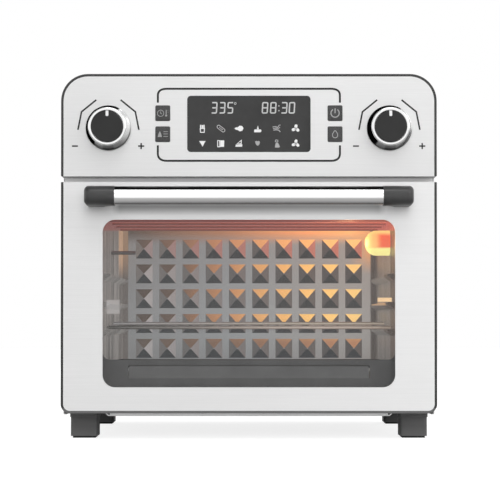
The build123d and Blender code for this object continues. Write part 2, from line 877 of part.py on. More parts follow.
# Crumb tray: a shallow folded tray on the cavity floor, its higher front face in the slot
tray_depth = cavity_depth + frame_sheet - tray_rear_gap
with BuildPart() as crumb_tray:
    with BuildSketch(Plane.XY.offset(cavity_floor_z)):
        with Locations((0, y_at(frame_setback + tray_depth / 2))):
            Rectangle(2 * tray_half_width, tray_depth)
    extrude(amount=tray_side_height)
    with BuildSketch(Plane.XY.offset(cavity_floor_z + tray_sheet)):
        with Locations((0, y_at(frame_setback + tray_depth / 2))):
            Rectangle(2 * (tray_half_width - tray_sheet), tray_depth - 2 * tray_sheet)
    extrude(amount=tray_side_height, mode=Mode.SUBTRACT)
    with BuildSketch(front_plane(frame_setback)):
        add(
            rounded(
                tray_half_width, cavity_floor_z, cavity_floor_z + tray_front_height, 0, tray_corner
            )
        )
    extrude(amount=-tray_sheet)
save(crumb_tray, "crumb_tray", DARK)

# Control panel: dark trim box, brushed fascia, display window and what sits behind
with BuildPart() as control_trim:
    with BuildSketch(front_plane(0)):
        add(rounded(body_half, panel_bottom, body_top, rim_corner, top_corner_radius))
        add(
            rounded(fascia_half, panel_bottom + rim, body_top - rim, 0, top_corner_radius - rim),
            mode=Mode.SUBTRACT,
        )
    extrude(amount=-frame_setback)
    with BuildSketch(front_plane(0)):
        add(rounded(fascia_half, panel_bottom - overcut, panel_bottom + rim + overcut, 0, 0))
    extrude(amount=-sheet, mode=Mode.SUBTRACT)
save(control_trim, "control_trim", BLACK)

button_places = [
    (side * button_offset, button_z + rise)
    for side in (-1, 1)
    for rise in (button_rise, -button_rise)
]
knob_places = [(-knob_offset, knob_z), (knob_offset, knob_z)]
with BuildPart() as control_fascia:
    with BuildSketch(front_plane(0)):
        add(rounded(fascia_half, panel_bottom, body_top - rim, 0, top_corner_radius - rim))
        with Locations((0, display_z)):
            RectangleRounded(
                display_width + 2 * display_gap,
                display_height + 2 * display_gap,
                display_corner + display_gap,
                mode=Mode.SUBTRACT,
            )
        with Locations(*button_places):
            RectangleRounded(
                button_width + 2 * display_gap,
                button_height + 2 * display_gap,
                button_corner + display_gap,
                mode=Mode.SUBTRACT,
            )
        with Locations(*knob_places):
            Circle(bush_radius + bush_clearance, mode=Mode.SUBTRACT)
    extrude(amount=-sheet)
save(control_fascia, "control_fascia", STEEL)

with BuildPart() as display_window:
    with BuildSketch(front_plane(0)):
        with Locations((0, display_z)):
            RectangleRounded(display_width, display_height, display_corner)
    extrude(amount=-display_glass)
    with BuildSketch(front_plane(sheet)):
        with Locations((0, display_z)):
            Rectangle(display_width + 2 * display_flange, display_height + 2 * display_flange)
    extrude(amount=-(display_glass - sheet))
save(display_window, "display_window", BLACK)

# Display board: the circuit board with its numeral block, push switches and stand-offs
push_switch_setback = sheet + button_flange + button_stem + button_travel + push_switch_gap
board_width = 2 * (knob_offset + board_end)
board_back = board_setback + board_thickness
with BuildPart() as display_board:
    with BuildSketch(front_plane(board_setback)):
        with Locations((0, knob_z)):
            Rectangle(board_width, board_height)
    extrude(amount=-board_thickness)
    with BuildSketch(front_plane(display_glass)):
        with Locations((0, display_z)):
            Rectangle(display_width - 2 * numerals_inset_x, display_height - 2 * numerals_inset_z)
    extrude(amount=-(board_setback - display_glass))
    with BuildSketch(front_plane(push_switch_setback)):
        with Locations(*button_places):
            Rectangle(push_switch_size, push_switch_size)
    extrude(amount=-(board_setback - push_switch_setback))
    with BuildSketch(front_plane(board_back)):
        with Locations((0, knob_z)):
            with GridLocations(
                board_width - 2 * board_post_inset, board_height - 2 * board_post_inset, 2, 2
            ):
                Circle(post_radius)
    extrude(amount=-(frame_setback - board_back))
save(display_board, "display_board", BOARD)

# Rotary encoders: body on the board, bush and the spindle that carries the knob
knob_bore_end = knob_length - spindle_web
spindle_end = knob_bore_end - spindle_end_gap
with BuildPart() as encoders:
    with BuildSketch(front_plane(board_setback - encoder_depth)):
        with Locations(*knob_places):
            Rectangle(encoder_size, encoder_size)
    extrude(amount=-encoder_depth)
    with BuildSketch(front_plane(sheet)):
        with Locations(*knob_places):
            Circle(bush_radius)
    extrude(amount=-(board_setback - encoder_depth - sheet))
    with BuildSketch(front_plane(-spindle_end)):
        with Locations(*knob_places):
            Circle(spindle_radius)
    extrude(amount=-(sheet + spindle_end))
save(encoders, "encoders", STEEL)


def knob_skirt(place):
    """The knob's chrome skirt: a hollow taper with a ring round its face and a bored hub."""
    axis_x = place[0]
    back = y_at(-knob_gap)
    collar = y_at(-knob_gap - knob_collar)
    front = y_at(-knob_length)
    seat = y_at(knob_face_depth - knob_length)
    hollow = y_at(knob_web - knob_length)
    bore = y_at(-knob_bore_end)
    bore_radius = spindle_radius + press_clearance
    hub_radius = spindle_radius + knob_wall
    with BuildPart() as skirt:
        with BuildSketch(Plane.XY.offset(knob_z)):
            with BuildLine():
                Polyline(
                    (axis_x + knob_radius, back),
                    (axis_x + knob_radius, collar),
                    (axis_x + knob_radius - knob_step, collar),
                    (axis_x + knob_ring_radius - knob_step, front),
                    (axis_x + knob_face_radius, front),
                    (axis_x + knob_face_radius, seat),
                    (axis_x, seat),
                    (axis_x, bore),
                    (axis_x + bore_radius, bore),
                    (axis_x + bore_radius, back),
                    (axis_x + hub_radius, back),
                    (axis_x + hub_radius, hollow),
                    (axis_x + knob_ring_radius - knob_wall, hollow),
                    (axis_x + knob_ring_radius - knob_wall, back),
                    close=True,
                )
            make_face()
        revolve(axis=Axis((axis_x, 0, knob_z), (0, 1, 0)))
    return skirt


def knob_face(place):
    """The knob's dark face disc with its pointer groove at the top."""
    face_front = knob_length + knob_face_proud
    with BuildPart() as face:
        with BuildSketch(front_plane(knob_face_depth - knob_length)):
            with Locations(place):
                Circle(knob_face_radius)
        extrude(amount=knob_face_depth + knob_face_proud)
        with BuildSketch(front_plane(pointer_depth - face_front)):
            with Locations((place[0], place[1] + knob_face_radius - pointer_length / 2)):
                Rectangle(pointer_width, pointer_length)
        extrude(amount=pointer_depth, mode=Mode.SUBTRACT)
    return face


for knob_side, knob_place in zip(("left", "right"), knob_places):
    save(knob_skirt(knob_place), f"knob_{knob_side}", CHROME)
    save(knob_face(knob_place), f"knob_face_{knob_side}", BLACK)


def push_button(place):
    """A square key: its face stands through the fascia and a wider flange holds it behind."""
    flange_width = button_width + 2 * button_flange_margin
    flange_height = button_height + 2 * button_flange_margin
    with BuildPart() as key:
        with BuildSketch(front_plane(-button_proud)):
            with Locations(place):
                RectangleRounded(button_width, button_height, button_corner)
        extrude(amount=-(button_proud + sheet))
        with BuildSketch(front_plane(sheet)):
            with Locations(place):
                Rectangle(flange_width, flange_height)
        extrude(amount=-button_flange)
        with BuildSketch(front_plane(sheet + button_flange)):
            with Locations(place):
                Rectangle(button_stem_width, button_stem_width)
        extrude(amount=-button_stem)
    return key


button_names = ("button_mode", "button_preheat", "button_power", "button_lamp")
for button_name, button_place in zip(button_names, button_places):
    save(push_button(button_place), button_name, BLACK)

# Power board: stands behind the front frame on four posts, with its larger components
power_board_setback = mouth_setback + power_board_post
power_board_z = body_top - power_board_drop
power_board_left = -power_board_offset - power_board_width / 2
power_board_right = -power_board_offset + power_board_width / 2
power_board_low = power_board_z - power_board_height / 2
power_board_high = power_board_z + power_board_height / 2
relay_x = power_board_right - component_inset - relay_width / 2
relay_z = power_board_low + component_inset + relay_height / 2
with BuildPart() as power_board:
    with BuildSketch(front_plane(power_board_setback)):
        with Locations((-power_board_offset, power_board_z)):
            Rectangle(power_board_width, power_board_height)
    extrude(amount=-board_thickness)
    with BuildSketch(front_plane(mouth_setback)):
        with Locations((-power_board_offset, power_board_z)):
            with GridLocations(
                power_board_width - 2 * power_board_post_inset,
                power_board_height - 2 * power_board_post_inset,
                2,
                2,
            ):
                Circle(post_radius)
    extrude(amount=-power_board_post)
    with BuildSketch(front_plane(power_board_setback + board_thickness)):
        with Locations(
            (
                power_board_left + component_inset + transformer_width / 2,
                power_board_low + component_inset + transformer_height / 2,
            )
        ):
            Rectangle(transformer_width, transformer_height)
        with Locations((relay_x, relay_z), (relay_x - relay_width - relay_gap, relay_z)):
            Rectangle(relay_width, relay_height)
        with Locations((relay_x, power_board_high - component_inset - capacitor_radius)):
            Circle(capacitor_radius)
    extrude(amount=-component_height)
save(power_board, "power_board", BOARD)

# Door: brushed skin with a lipped window, dark trim, two panes and the inner frame
skin_bottom = door_bottom + rim
screw_places = [
    (side * screw_x, handle_z + half * screw_pitch / 2) for side in (-1, 1) for half in (-1, 1)
]
with BuildPart() as door_skin:
    with BuildSketch(front_plane(0)):
        add(rounded(fascia_half, skin_bottom, door_top, door_corner_radius - rim, 0))
        add(window_outline(0), mode=Mode.SUBTRACT)
        with Locations(*screw_places):
            Circle(screw_radius + press_clearance, mode=Mode.SUBTRACT)
    extrude(amount=-sheet)
    with BuildSketch(front_plane(0)):
        add(window_outline(sheet))
        add(window_outline(0), mode=Mode.SUBTRACT)
    extrude(amount=-(sheet + window_lip))
save(door_skin, "door_skin", STEEL)

ear_slot_low = ear_offset - leaf_gap
ear_slot_high = ear_offset + ear_thickness + leaf_gap / 2
with BuildPart() as door_trim:
    with BuildSketch(front_plane(0)):
        add(rounded(body_half, door_bottom, door_top, door_corner_radius, rim_corner))
        add(
            rounded(fascia_half, skin_bottom, door_top - rim, door_corner_radius - rim, 0),
            mode=Mode.SUBTRACT,
        )
    extrude(amount=-door_thickness)
    with BuildSketch(front_plane(0)):
        add(rounded(fascia_half, door_top - rim - overcut, door_top + overcut, 0, 0))
    extrude(amount=-sheet, mode=Mode.SUBTRACT)
    with BuildSketch(front_plane(trim_foot_depth)):
        add(rounded(body_width, door_bottom - overcut, pivot_z + trim_foot_over, 0, 0))
    extrude(amount=-door_thickness, mode=Mode.SUBTRACT)
    with BuildSketch(front_plane(sheet)):
        for side in (-1, 1):
            with Locations((side * (ear_slot_low + ear_slot_high) / 2, door_bottom + rim / 2)):
                Rectangle(ear_slot_high - ear_slot_low, rim + 2 * overcut)
    extrude(amount=-door_thickness, mode=Mode.SUBTRACT)
save(door_trim, "door_trim", BLACK)

with BuildPart() as outer_glass:
    with BuildSketch(front_plane(sheet + window_lip)):
        add(
            rounded(
                window_half + glass_overlap,
                window_bottom - glass_overlap,
                window_top + glass_overlap,
                window_radius,
                window_radius,
            )
        )
    extrude(amount=-glass_thickness)
save(outer_glass, "outer_glass", CLEAR)

inner_frame_bottom = door_bottom + inner_frame_rise
inner_frame_top = door_top - rim
inner_plate_setback = door_thickness - frame_sheet
inner_opening_half = window_half + inner_window_margin
inner_opening_low = window_bottom - inner_window_margin
inner_opening_high = window_top + inner_window_margin
with BuildPart() as door_inner_frame:
    with BuildSketch(front_plane(sheet)):
        add(rounded(fascia_half, inner_frame_bottom, inner_frame_top, 0, 0))
        add(
            rounded(
                fascia_half - frame_sheet,
                inner_frame_bottom + frame_sheet,
                inner_frame_top - frame_sheet,
                0,
                0,
            ),
            mode=Mode.SUBTRACT,
        )
    extrude(amount=-(door_thickness - sheet))
    with BuildSketch(front_plane(inner_plate_setback)):
        add(rounded(fascia_half, inner_frame_bottom, inner_frame_top, 0, 0))
        add(
            rounded(
                inner_opening_half,
                inner_opening_low,
                inner_opening_high,
                window_radius,
                window_radius,
            ),
            mode=Mode.SUBTRACT,
        )
    extrude(amount=-frame_sheet)
save(door_inner_frame, "door_inner_frame", DARK)

with BuildPart() as inner_glass:
    with BuildSketch(front_plane(inner_plate_setback - glass_thickness)):
        add(
            rounded(
                inner_opening_half + inner_glass_overlap,
                inner_opening_low - inner_glass_overlap,
                inner_opening_high + inner_glass_overlap,
                inner_glass_radius,
                inner_glass_radius,
            )
        )
    extrude(amount=-glass_thickness)
save(inner_glass, "inner_glass", CLEAR)

# Handle: a steel tube between two dark end brackets, each held by two screws from inside
bar_end = handle_half_length - handle_end_width
with BuildPart() as handle_bar:
    with BuildSketch(side_plane(-bar_end)):
        with Locations((y_at(handle_setback), handle_z)):
            Circle(handle_radius)
            Circle(handle_radius - handle_wall, mode=Mode.SUBTRACT)
    extrude(amount=2 * bar_end)
save(handle_bar, "handle_bar", STEEL)


def handle_end(side):
    """A bracket from the door's face out to the bar, with a plug inside the bar's end."""
    outer = side * handle_half_length
    inner = side * bar_end
    foot = side * (handle_half_length - handle_end_foot)
    front = y_at(-handle_reach)
    shoulder = front + 2 * handle_radius + handle_end_shoulder
    with BuildPart() as bracket:
        with BuildSketch(Plane.XY.offset(handle_z - handle_end_height / 2)):
            with BuildLine():
                Polyline(
                    (foot, y_at(0)),
                    (outer, y_at(0)),
                    (outer, front + handle_end_chamfer),
                    (outer - side * handle_end_chamfer, front),
                    (inner, front),
                    (inner, shoulder),
                )
                ThreePointArc(
                    (inner, shoulder),
                    (inner + side * handle_end_curve_x, shoulder + handle_end_curve_y),
                    (foot, y_at(0)),
                )
            make_face()
        extrude(amount=handle_end_height)
        with BuildSketch(side_plane(inner)):
            with Locations((y_at(handle_setback), handle_z)):
                Circle(handle_radius - handle_wall - press_clearance)
        extrude(amount=-side * handle_plug)
        with BuildSketch(front_plane(0)):
            with Locations((side * screw_x, handle_z)):
                with GridLocations(0, screw_pitch, 1, 2):
                    Circle(screw_radius + press_clearance)
        extrude(amount=screw_length + screw_end_gap, mode=Mode.SUBTRACT)
    return bracket


save(handle_end(-1), "handle_end_left", BLACK)
save(handle_end(1), "handle_end_right", BLACK)

with BuildPart() as handle_screws:
    with BuildSketch(front_plane(sheet)):
        with Locations(*screw_places):
            RegularPolygon(screw_radius + screw_head_lip, screw_sides)
    extrude(amount=-screw_head)
    with BuildSketch(front_plane(sheet)):
        with Locations(*screw_places):
            RegularPolygon(screw_radius, screw_sides)
    extrude(amount=sheet + screw_length)
save(handle_screws, "handle_screws", STEEL)

# Hinge: ears on the front frame, pins through them, and leaves under the door's inner frame
ear_low = pivot_z - ear_radius
ear_high = pivot_z + ear_radius
with BuildPart() as hinge_ears:
    for side in (-1, 1):
        with BuildSketch(side_plane(side * ear_offset)):
            with BuildLine():
                Line((y_at(frame_setback), ear_low), (pivot_y, ear_low))
                CenterArc((pivot_y, pivot_z), ear_radius, 270, -180)
                Line((pivot_y, ear_high), (y_at(frame_setback), ear_high))
                Line((y_at(frame_setback), ear_high), (y_at(frame_setback), ear_low))
            make_face()
            with Locations((pivot_y, pivot_z)):
                Circle(pin_radius, mode=Mode.SUBTRACT)
        extrude(amount=side * ear_thickness)
        with BuildSketch(front_plane(frame_setback)):
            with Locations((side * (ear_offset + ear_thickness - ear_plate_width / 2), pivot_z)):
                Rectangle(ear_plate_width, 2 * ear_radius)
        extrude(amount=frame_sheet)
save(hinge_ears, "hinge_ears", STEEL)

leaf_inner = ear_offset + ear_thickness + leaf_gap
with BuildPart() as hinge_pins:
    for side in (-1, 1):
        with BuildSketch(side_plane(side * (ear_offset - pin_end))):
            with Locations((pivot_y, pivot_z)):
                Circle(pin_radius)
        extrude(amount=side * (leaf_inner + ear_thickness - ear_offset + 2 * pin_end))
        with BuildSketch(side_plane(side * ear_offset)):
            with Locations((pivot_y, pivot_z)):
                Circle(pin_radius + pin_head_lip)
        extrude(amount=-side * (pin_end + pin_head))
save(hinge_pins, "hinge_pins", STEEL)

with BuildPart() as hinge_leaves:
    for side in (-1, 1):
        with BuildSketch(side_plane(side * leaf_inner)):
            with Locations((pivot_y, (ear_low + inner_frame_bottom) / 2)):
                Rectangle(leaf_depth, inner_frame_bottom - ear_low)
            with Locations((pivot_y, pivot_z)):
                Circle(pin_radius + press_clearance, mode=Mode.SUBTRACT)
        extrude(amount=side * ear_thickness)
        with BuildSketch(Plane.XY.offset(inner_frame_bottom)):
            with Locations((side * (leaf_inner + leaf_foot / 2), pivot_y)):
                Rectangle(leaf_foot, leaf_depth)
        extrude(amount=-frame_sheet)
save(hinge_leaves, "hinge_leaves", STEEL)

# Door seal round the mouth and the tray slot, and the door switch behind the front frame
seal_setback = door_thickness + rest_gap
seal_half = cavity_half + seal_margin
seal_low = inner_opening_low - seal_lower_margin
seal_high = ceiling_z + seal_margin
with BuildPart() as door_seal:
    with BuildSketch(front_plane(seal_setback)):
        add(
            rounded(
                seal_half + seal_width,
                seal_low - seal_width,
                seal_high + seal_width,
                seal_radius,
                seal_radius,
            )
        )
        add(
            rounded(
                seal_half, seal_low, seal_high, seal_radius - seal_width, seal_radius - seal_width
            ),
            mode=Mode.SUBTRACT,
        )
    extrude(amount=-(frame_setback - seal_setback))
save(door_seal, "door_seal", BLACK)

with BuildPart() as door_switch:
    with BuildSketch(front_plane(mouth_setback)):
        with Locations(switch_place):
            Rectangle(switch_width, switch_height)
    extrude(amount=-switch_depth)
    with BuildSketch(front_plane(seal_setback)):
        with Locations(switch_place):
            Circle(plunger_radius)
    extrude(amount=-(mouth_setback - seal_setback))
save(door_switch, "door_switch", BLACK)

# Feet: tapered blocks under the base pan, each with a rubber pad
foot_names = ("foot_front_left", "foot_front_right", "foot_rear_left", "foot_rear_right")
foot_places = [
    (side * (body_half - inset), y_at(setback))
    for inset, setback in (
        (foot_inset, front_foot_setback),
        (rear_foot_inset, body_depth - rear_foot_rear_gap),
    )
    for side in (-1, 1)
]
for foot_name, foot_place in zip(foot_names, foot_places):
    with BuildPart() as foot:
        with BuildSketch(Plane.XY.offset(pad_thickness)):
            with Locations(foot_place):
                RectangleRounded(foot_width - foot_taper, foot_depth - foot_taper, foot_corner)
        extrude(amount=foot_height - pad_thickness)
        with BuildSketch(Plane.XY.offset(foot_height)):
            with Locations(foot_place):
                RectangleRounded(foot_width, foot_depth, foot_corner)
        extrude(amount=-foot_flange)
    save(foot, foot_name, BLACK)

with BuildPart() as foot_pads:
    with BuildSketch(Plane.XY):
        with Locations(*foot_places):
            Rectangle(foot_width - 2 * pad_inset, foot_depth - 2 * pad_inset)
    extrude(amount=pad_thickness)
save(foot_pads, "foot_pads", BLACK)

# Rear: gland for the supply cord, wall spacers and the panel's screws
gland_setback = rear_setback - sheet - gland_nut
gland_length = gland_nut + sheet + gland_outside
with BuildPart() as cord_gland:
    with BuildSketch(front_plane(gland_setback)):
        with Locations(gland_place):
            RegularPolygon(gland_radius + gland_lip, gland_sides)
    extrude(amount=-gland_nut)
    with BuildSketch(front_plane(rear_setback - sheet)):
        with Locations(gland_place):
            Circle(gland_radius)
    extrude(amount=-sheet)
    with BuildSketch(front_plane(rear_setback)):
        with Locations(gland_place):
            RegularPolygon(gland_radius + gland_nut, gland_sides)
    extrude(amount=-gland_outside)
    with BuildSketch(front_plane(gland_setback)):
        with Locations(gland_place):
            Circle(cord_hole_radius)
    extrude(amount=-gland_length, mode=Mode.SUBTRACT)
save(cord_gland, "cord_gland", BLACK)

with BuildPart() as rear_spacers:
    with BuildSketch(front_plane(rear_setback)):
        with Locations((0, body_top - spacer_drop)):
            with GridLocations(2 * spacer_offset, 0, 2, 1):
                Circle(spacer_radius)
    extrude(amount=-spacer_length)
save(rear_spacers, "rear_spacers", BLACK)

rear_screw_x = inner_half - rear_screw_inset
rear_screw_places = [
    (side * rear_screw_x, wrap_bottom + rise) for side in (-1, 1) for rise in rear_screw_rises
]
with BuildPart() as rear_screws:
    with BuildSketch(front_plane(rear_setback)):
        with Locations(*rear_screw_places):
            RegularPolygon(rear_screw_radius, screw_sides)
    extrude(amount=-rear_screw_head)
save(rear_screws, "rear_screws", STEEL)
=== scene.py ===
import json
import math

import bmesh
import bpy
import numpy as np
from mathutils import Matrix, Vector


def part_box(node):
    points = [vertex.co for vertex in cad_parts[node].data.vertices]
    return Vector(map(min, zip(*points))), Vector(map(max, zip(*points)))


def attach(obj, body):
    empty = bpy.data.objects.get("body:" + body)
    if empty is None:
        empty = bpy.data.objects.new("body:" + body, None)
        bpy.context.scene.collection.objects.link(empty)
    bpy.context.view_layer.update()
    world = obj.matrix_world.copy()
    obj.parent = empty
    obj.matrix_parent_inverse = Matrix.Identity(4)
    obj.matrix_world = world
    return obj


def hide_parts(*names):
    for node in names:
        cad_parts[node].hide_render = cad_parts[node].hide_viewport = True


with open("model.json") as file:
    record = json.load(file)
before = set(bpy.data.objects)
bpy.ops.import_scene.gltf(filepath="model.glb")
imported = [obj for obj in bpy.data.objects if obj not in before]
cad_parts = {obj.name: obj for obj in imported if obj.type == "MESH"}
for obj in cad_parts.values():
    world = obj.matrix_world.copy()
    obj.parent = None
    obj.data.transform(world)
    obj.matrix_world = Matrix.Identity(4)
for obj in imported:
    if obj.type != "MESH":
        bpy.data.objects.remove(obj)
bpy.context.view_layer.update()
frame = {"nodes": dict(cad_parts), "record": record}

# Looks for an air fryer oven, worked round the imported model. Lengths are millimetres up to
# the moment a mesh is made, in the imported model's own frame: X to the viewer's right, Y to
# the back, Z up, with the worktop at Z = 0.
MM = 0.001
nodes = frame["nodes"]


# ---------------------------------------------------------------- measuring and mesh making

def span(node):
    """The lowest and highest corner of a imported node, in millimetres."""
    low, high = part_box(node)
    return np.array(low) / MM, np.array(high) / MM


def middle(node):
    """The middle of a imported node's box, in millimetres."""
    low, high = span(node)
    return (low + high) / 2


def placed(name, data):
    """A new object in the scene."""
    made = bpy.data.objects.new(name, data)
    bpy.context.scene.collection.objects.link(made)
    return made


def shell(name, sheets, finish, body, crease=35.0):
    """One piece from sheets of points, in the finish named. Each sheet is an array of rows by
    columns of points, and every four neighbours make one face. Points that coincide are
    merged, so a sheet whose first and last columns agree closes on itself and a row of equal
    points is a pole."""
    points, faces, start = [], [], 0
    for sheet in sheets:
        rows, columns = sheet.shape[:2]
        corner = (np.arange(rows - 1)[:, None] * columns + np.arange(columns - 1)).ravel()
        points.append(sheet.reshape(-1, 3))
        faces.append(corner[:, None] + np.array([0, 1, columns + 1, columns]) + start)
        start += rows * columns
    mesh = bpy.data.meshes.new(name)
    mesh.from_pydata((np.concatenate(points) * MM).tolist(), [],
                     np.concatenate(faces).tolist())
    work = bmesh.new()
    work.from_mesh(mesh)
    bmesh.ops.remove_doubles(work, verts=work.verts, dist=2e-6)
    bmesh.ops.recalc_face_normals(work, faces=work.faces)
    work.to_mesh(mesh)
    work.free()
    mesh.polygons.foreach_set("use_smooth", np.ones(len(mesh.polygons), bool))
    mesh.set_sharp_from_angle(angle=math.radians(crease))
    piece = placed(name, mesh)
    mesh.materials.append(FINISH[finish])
    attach(piece, body)
    return piece


AXES = {
    # Each facing says where a shape's own across, up and out directions point.
    "front": np.array([[1, 0, 0], [0, 0, 1], [0, -1, 0]], float),
    "left": np.array([[0, -1, 0], [0, 0, 1], [-1, 0, 0]], float),
}
ACROSS, UP, OUT = AXES["front"]


def turned(profile, centre, facing, steps=64):
    """A lathe: profile is a list of (radius, height); each point goes round the facing's out
    direction as centre + radius (cos v across + sin v up) + height out."""
    radius, height = np.array(profile, float).T
    v = np.linspace(0, 2 * math.pi, steps + 1)
    across, up, out = AXES[facing]
    ring = np.cos(v)[:, None] * across + np.sin(v)[:, None] * up
    return np.asarray(centre) + radius[:, None, None] * ring + height[:, None, None] * out


def bar(start, end, radius, steps, dome=0.35):
    """A straight, level round rod: a circle carried from start to end, with ends that close over a
    quarter ellipse that is dome radii deep."""
    start, end = np.array(start, float), np.array(end, float)
    length = np.linalg.norm(end - start)
    along = (end - start) / length
    side = np.cross(along, UP)
    side /= np.linalg.norm(side)
    other = np.cross(along, side)
    t = np.linspace(0, math.pi / 2, 5)
    radii = radius * np.concatenate([np.sin(t), np.sin(t)[::-1]])
    cap = radius * dome * (1 - np.cos(t))
    places = np.concatenate([cap, length - cap[::-1]])
    v = np.linspace(0, 2 * math.pi, steps + 1)
    ring = np.cos(v)[:, None] * side + np.sin(v)[:, None] * other
    return start + places[:, None, None] * along + radii[:, None, None] * ring


def hose(path, radius, steps=16):
    """A round section carried round a closed, level path: at each point the circle stands
    square to the mean of the two directions that meet there."""
    along = np.roll(path, -1, 0) - np.roll(path, 1, 0)
    along /= np.linalg.norm(along, axis=1)[:, None]
    side = np.cross(along, UP)
    side /= np.linalg.norm(side, axis=1)[:, None]
    v = np.linspace(0, 2 * math.pi, steps + 1)[None, :, None]
    ring = path[:, None, :] + radius * (np.cos(v) * side[:, None, :]
                                        + np.sin(v) * np.cross(along, side)[:, None, :])
    return np.concatenate([ring, ring[:1]])


def rounded_loop(width, height, radius, steps=7):
    """A closed loop round a rectangle: a quarter circle at each corner, joined by the sides.
    The radius is one number, or one each for upper right, upper left, lower left, lower
    right."""
    radius = np.repeat(np.minimum(np.ones(4) * radius, min(width, height) / 2), steps)
    turn = np.linspace(0, math.pi / 2, steps)
    angle = (turn[None, :] + np.arange(4)[:, None] * math.pi / 2).ravel()
    sign_x = np.repeat([1, -1, -1, 1], steps)
    sign_z = np.repeat([1, 1, -1, -1], steps)
    x = sign_x * (width / 2 - radius) + radius * np.cos(angle)
    z = sign_z * (height / 2 - radius) + radius * np.sin(angle)
    loop = np.stack([x, z], 1)
    return np.concatenate([loop, loop[:1]])


def closed_off(rows):
    """Rows of points whose first and last row are closed flat on their own middles."""
    rows = np.array(rows)
    ends = np.repeat(rows[[0, -1]].mean(1)[:, None, :], rows.shape[1], 1)
    return np.concatenate([ends[:1], rows, ends[1:]])


def pad(centre, width, height, radius, profile):
    """A rounded block: the rounded rectangle is drawn once for each (rise, inset) of the
    profile, inset all round and moved out by rise, and the first and last are closed flat."""
    rows = []
    for rise, inset in profile:
        loop = rounded_loop(width - 2 * inset, height - 2 * inset, max(radius - inset, 0.05))
        rows.append(centre + loop[:, :1] * ACROSS + loop[:, 1:] * UP + rise * OUT)
    return closed_off(rows)


def fillet(points, radius, closed=False, steps=5):
    """A path whose inner corners are rounded: each corner gives way to the quadratic curve
    between the two points that lie radius away from it along its sides."""
    points = np.asarray(points, float)
    inner = points if closed else points[1:-1]
    before = np.roll(points, 1, 0) if closed else points[:-2]
    after = np.roll(points, -1, 0) if closed else points[2:]
    a, b = before - inner, after - inner
    reach_a, reach_b = np.linalg.norm(a, axis=1), np.linalg.norm(b, axis=1)
    a = inner + a * (np.minimum(radius, reach_a * 0.48) / reach_a)[:, None]
    b = inner + b * (np.minimum(radius, reach_b * 0.48) / reach_b)[:, None]
    t = np.linspace(0, 1, steps)[None, :, None]
    curve = ((1 - t) ** 2 * a[:, None] + 2 * t * (1 - t) * inner[:, None] + t ** 2 * b[:, None])
    curve = curve.reshape(-1, points.shape[1])
    return curve if closed else np.concatenate([points[:1], curve, points[-1:]])


def pen(points, width, closed=False):
    """The two edges of a pen line: each point moves half the width to either side along the
    mitre of the line's normals there."""
    points = np.asarray(points, float)
    if closed:
        ahead, behind = np.roll(points, -1, 0) - points, points - np.roll(points, 1, 0)
    else:
        step = np.diff(points, axis=0)
        ahead, behind = np.concatenate([step, step[-1:]]), np.concatenate([step[:1], step])
    ahead = ahead / np.linalg.norm(ahead, axis=1)[:, None]
    behind = behind / np.linalg.norm(behind, axis=1)[:, None]
    normal = np.stack([-(ahead + behind)[:, 1], (ahead + behind)[:, 0]], 1)
    normal /= np.maximum((normal ** 2).sum(1), 0.8)[:, None] / 2
    return points + normal * width / 2, points - normal * width / 2


INK = (-0.05, 0.12)  # printing starts just under the surface and stands this far proud


def line(points, width, origin, closed=False, ink=INK):
    """A printed line: the pen line's two edges, front and back, joined into a thin closed
    strip on the surface through origin."""
    left, right = pen(points, width, closed)
    corners = np.stack([left, right, right, left, left], 1)
    rise = np.array([ink[1], ink[1], ink[0], ink[0], ink[1]])
    strip = (np.asarray(origin) + corners[..., :1] * ACROSS + corners[..., 1:] * UP
             + rise[None, :, None] * OUT)
    if closed:
        return np.concatenate([strip, strip[:1]])
    ends = np.repeat(strip[[0, -1], :4].mean(1)[:, None, :], 5, 1)
    return np.concatenate([ends[:1], strip, ends[1:]])


def patch(outline, origin, ink=INK):
    """A printed shape: a closed outline, front and back, filled from its middle."""
    outline = np.asarray(outline, float)
    outline = np.concatenate([outline, outline[:1]])
    flat = np.asarray(origin) + outline[:, :1] * ACROSS + outline[:, 1:] * UP
    core = np.repeat(flat[:-1].mean(0)[None, :], len(flat), 0)
    back, face = ink[0] * OUT, ink[1] * OUT
    return np.stack([core + back, flat + back, flat + face, core + face])


def arc(radius, start, end, steps=24, centre=(0, 0)):
    """Points on part of a circle, from one angle in degrees to another."""
    t = np.radians(np.linspace(start, end, steps))
    return np.stack([centre[0] + radius * np.cos(t), centre[1] + radius * np.sin(t)], 1)


# ---------------------------------------------------------------- finishes

def grey(level, warm=0.0):
    """A grey whose 0 to 255 screen level is given, as linear colour, a little warm or cool."""
    value = level / 255
    linear = value / 12.92 if value <= 0.04045 else ((value + 0.055) / 1.055) ** 2.4
    return (linear * (1 + warm), linear, linear * (1 - warm))


def tone(*levels):
    """A linear colour from one screen level, from one each for red, green and blue, or, when
    it is linear already, as it is."""
    if isinstance(levels[0], tuple):
        return levels[0]
    return tuple(grey(level)[0] for level in (levels * 3)[:3])


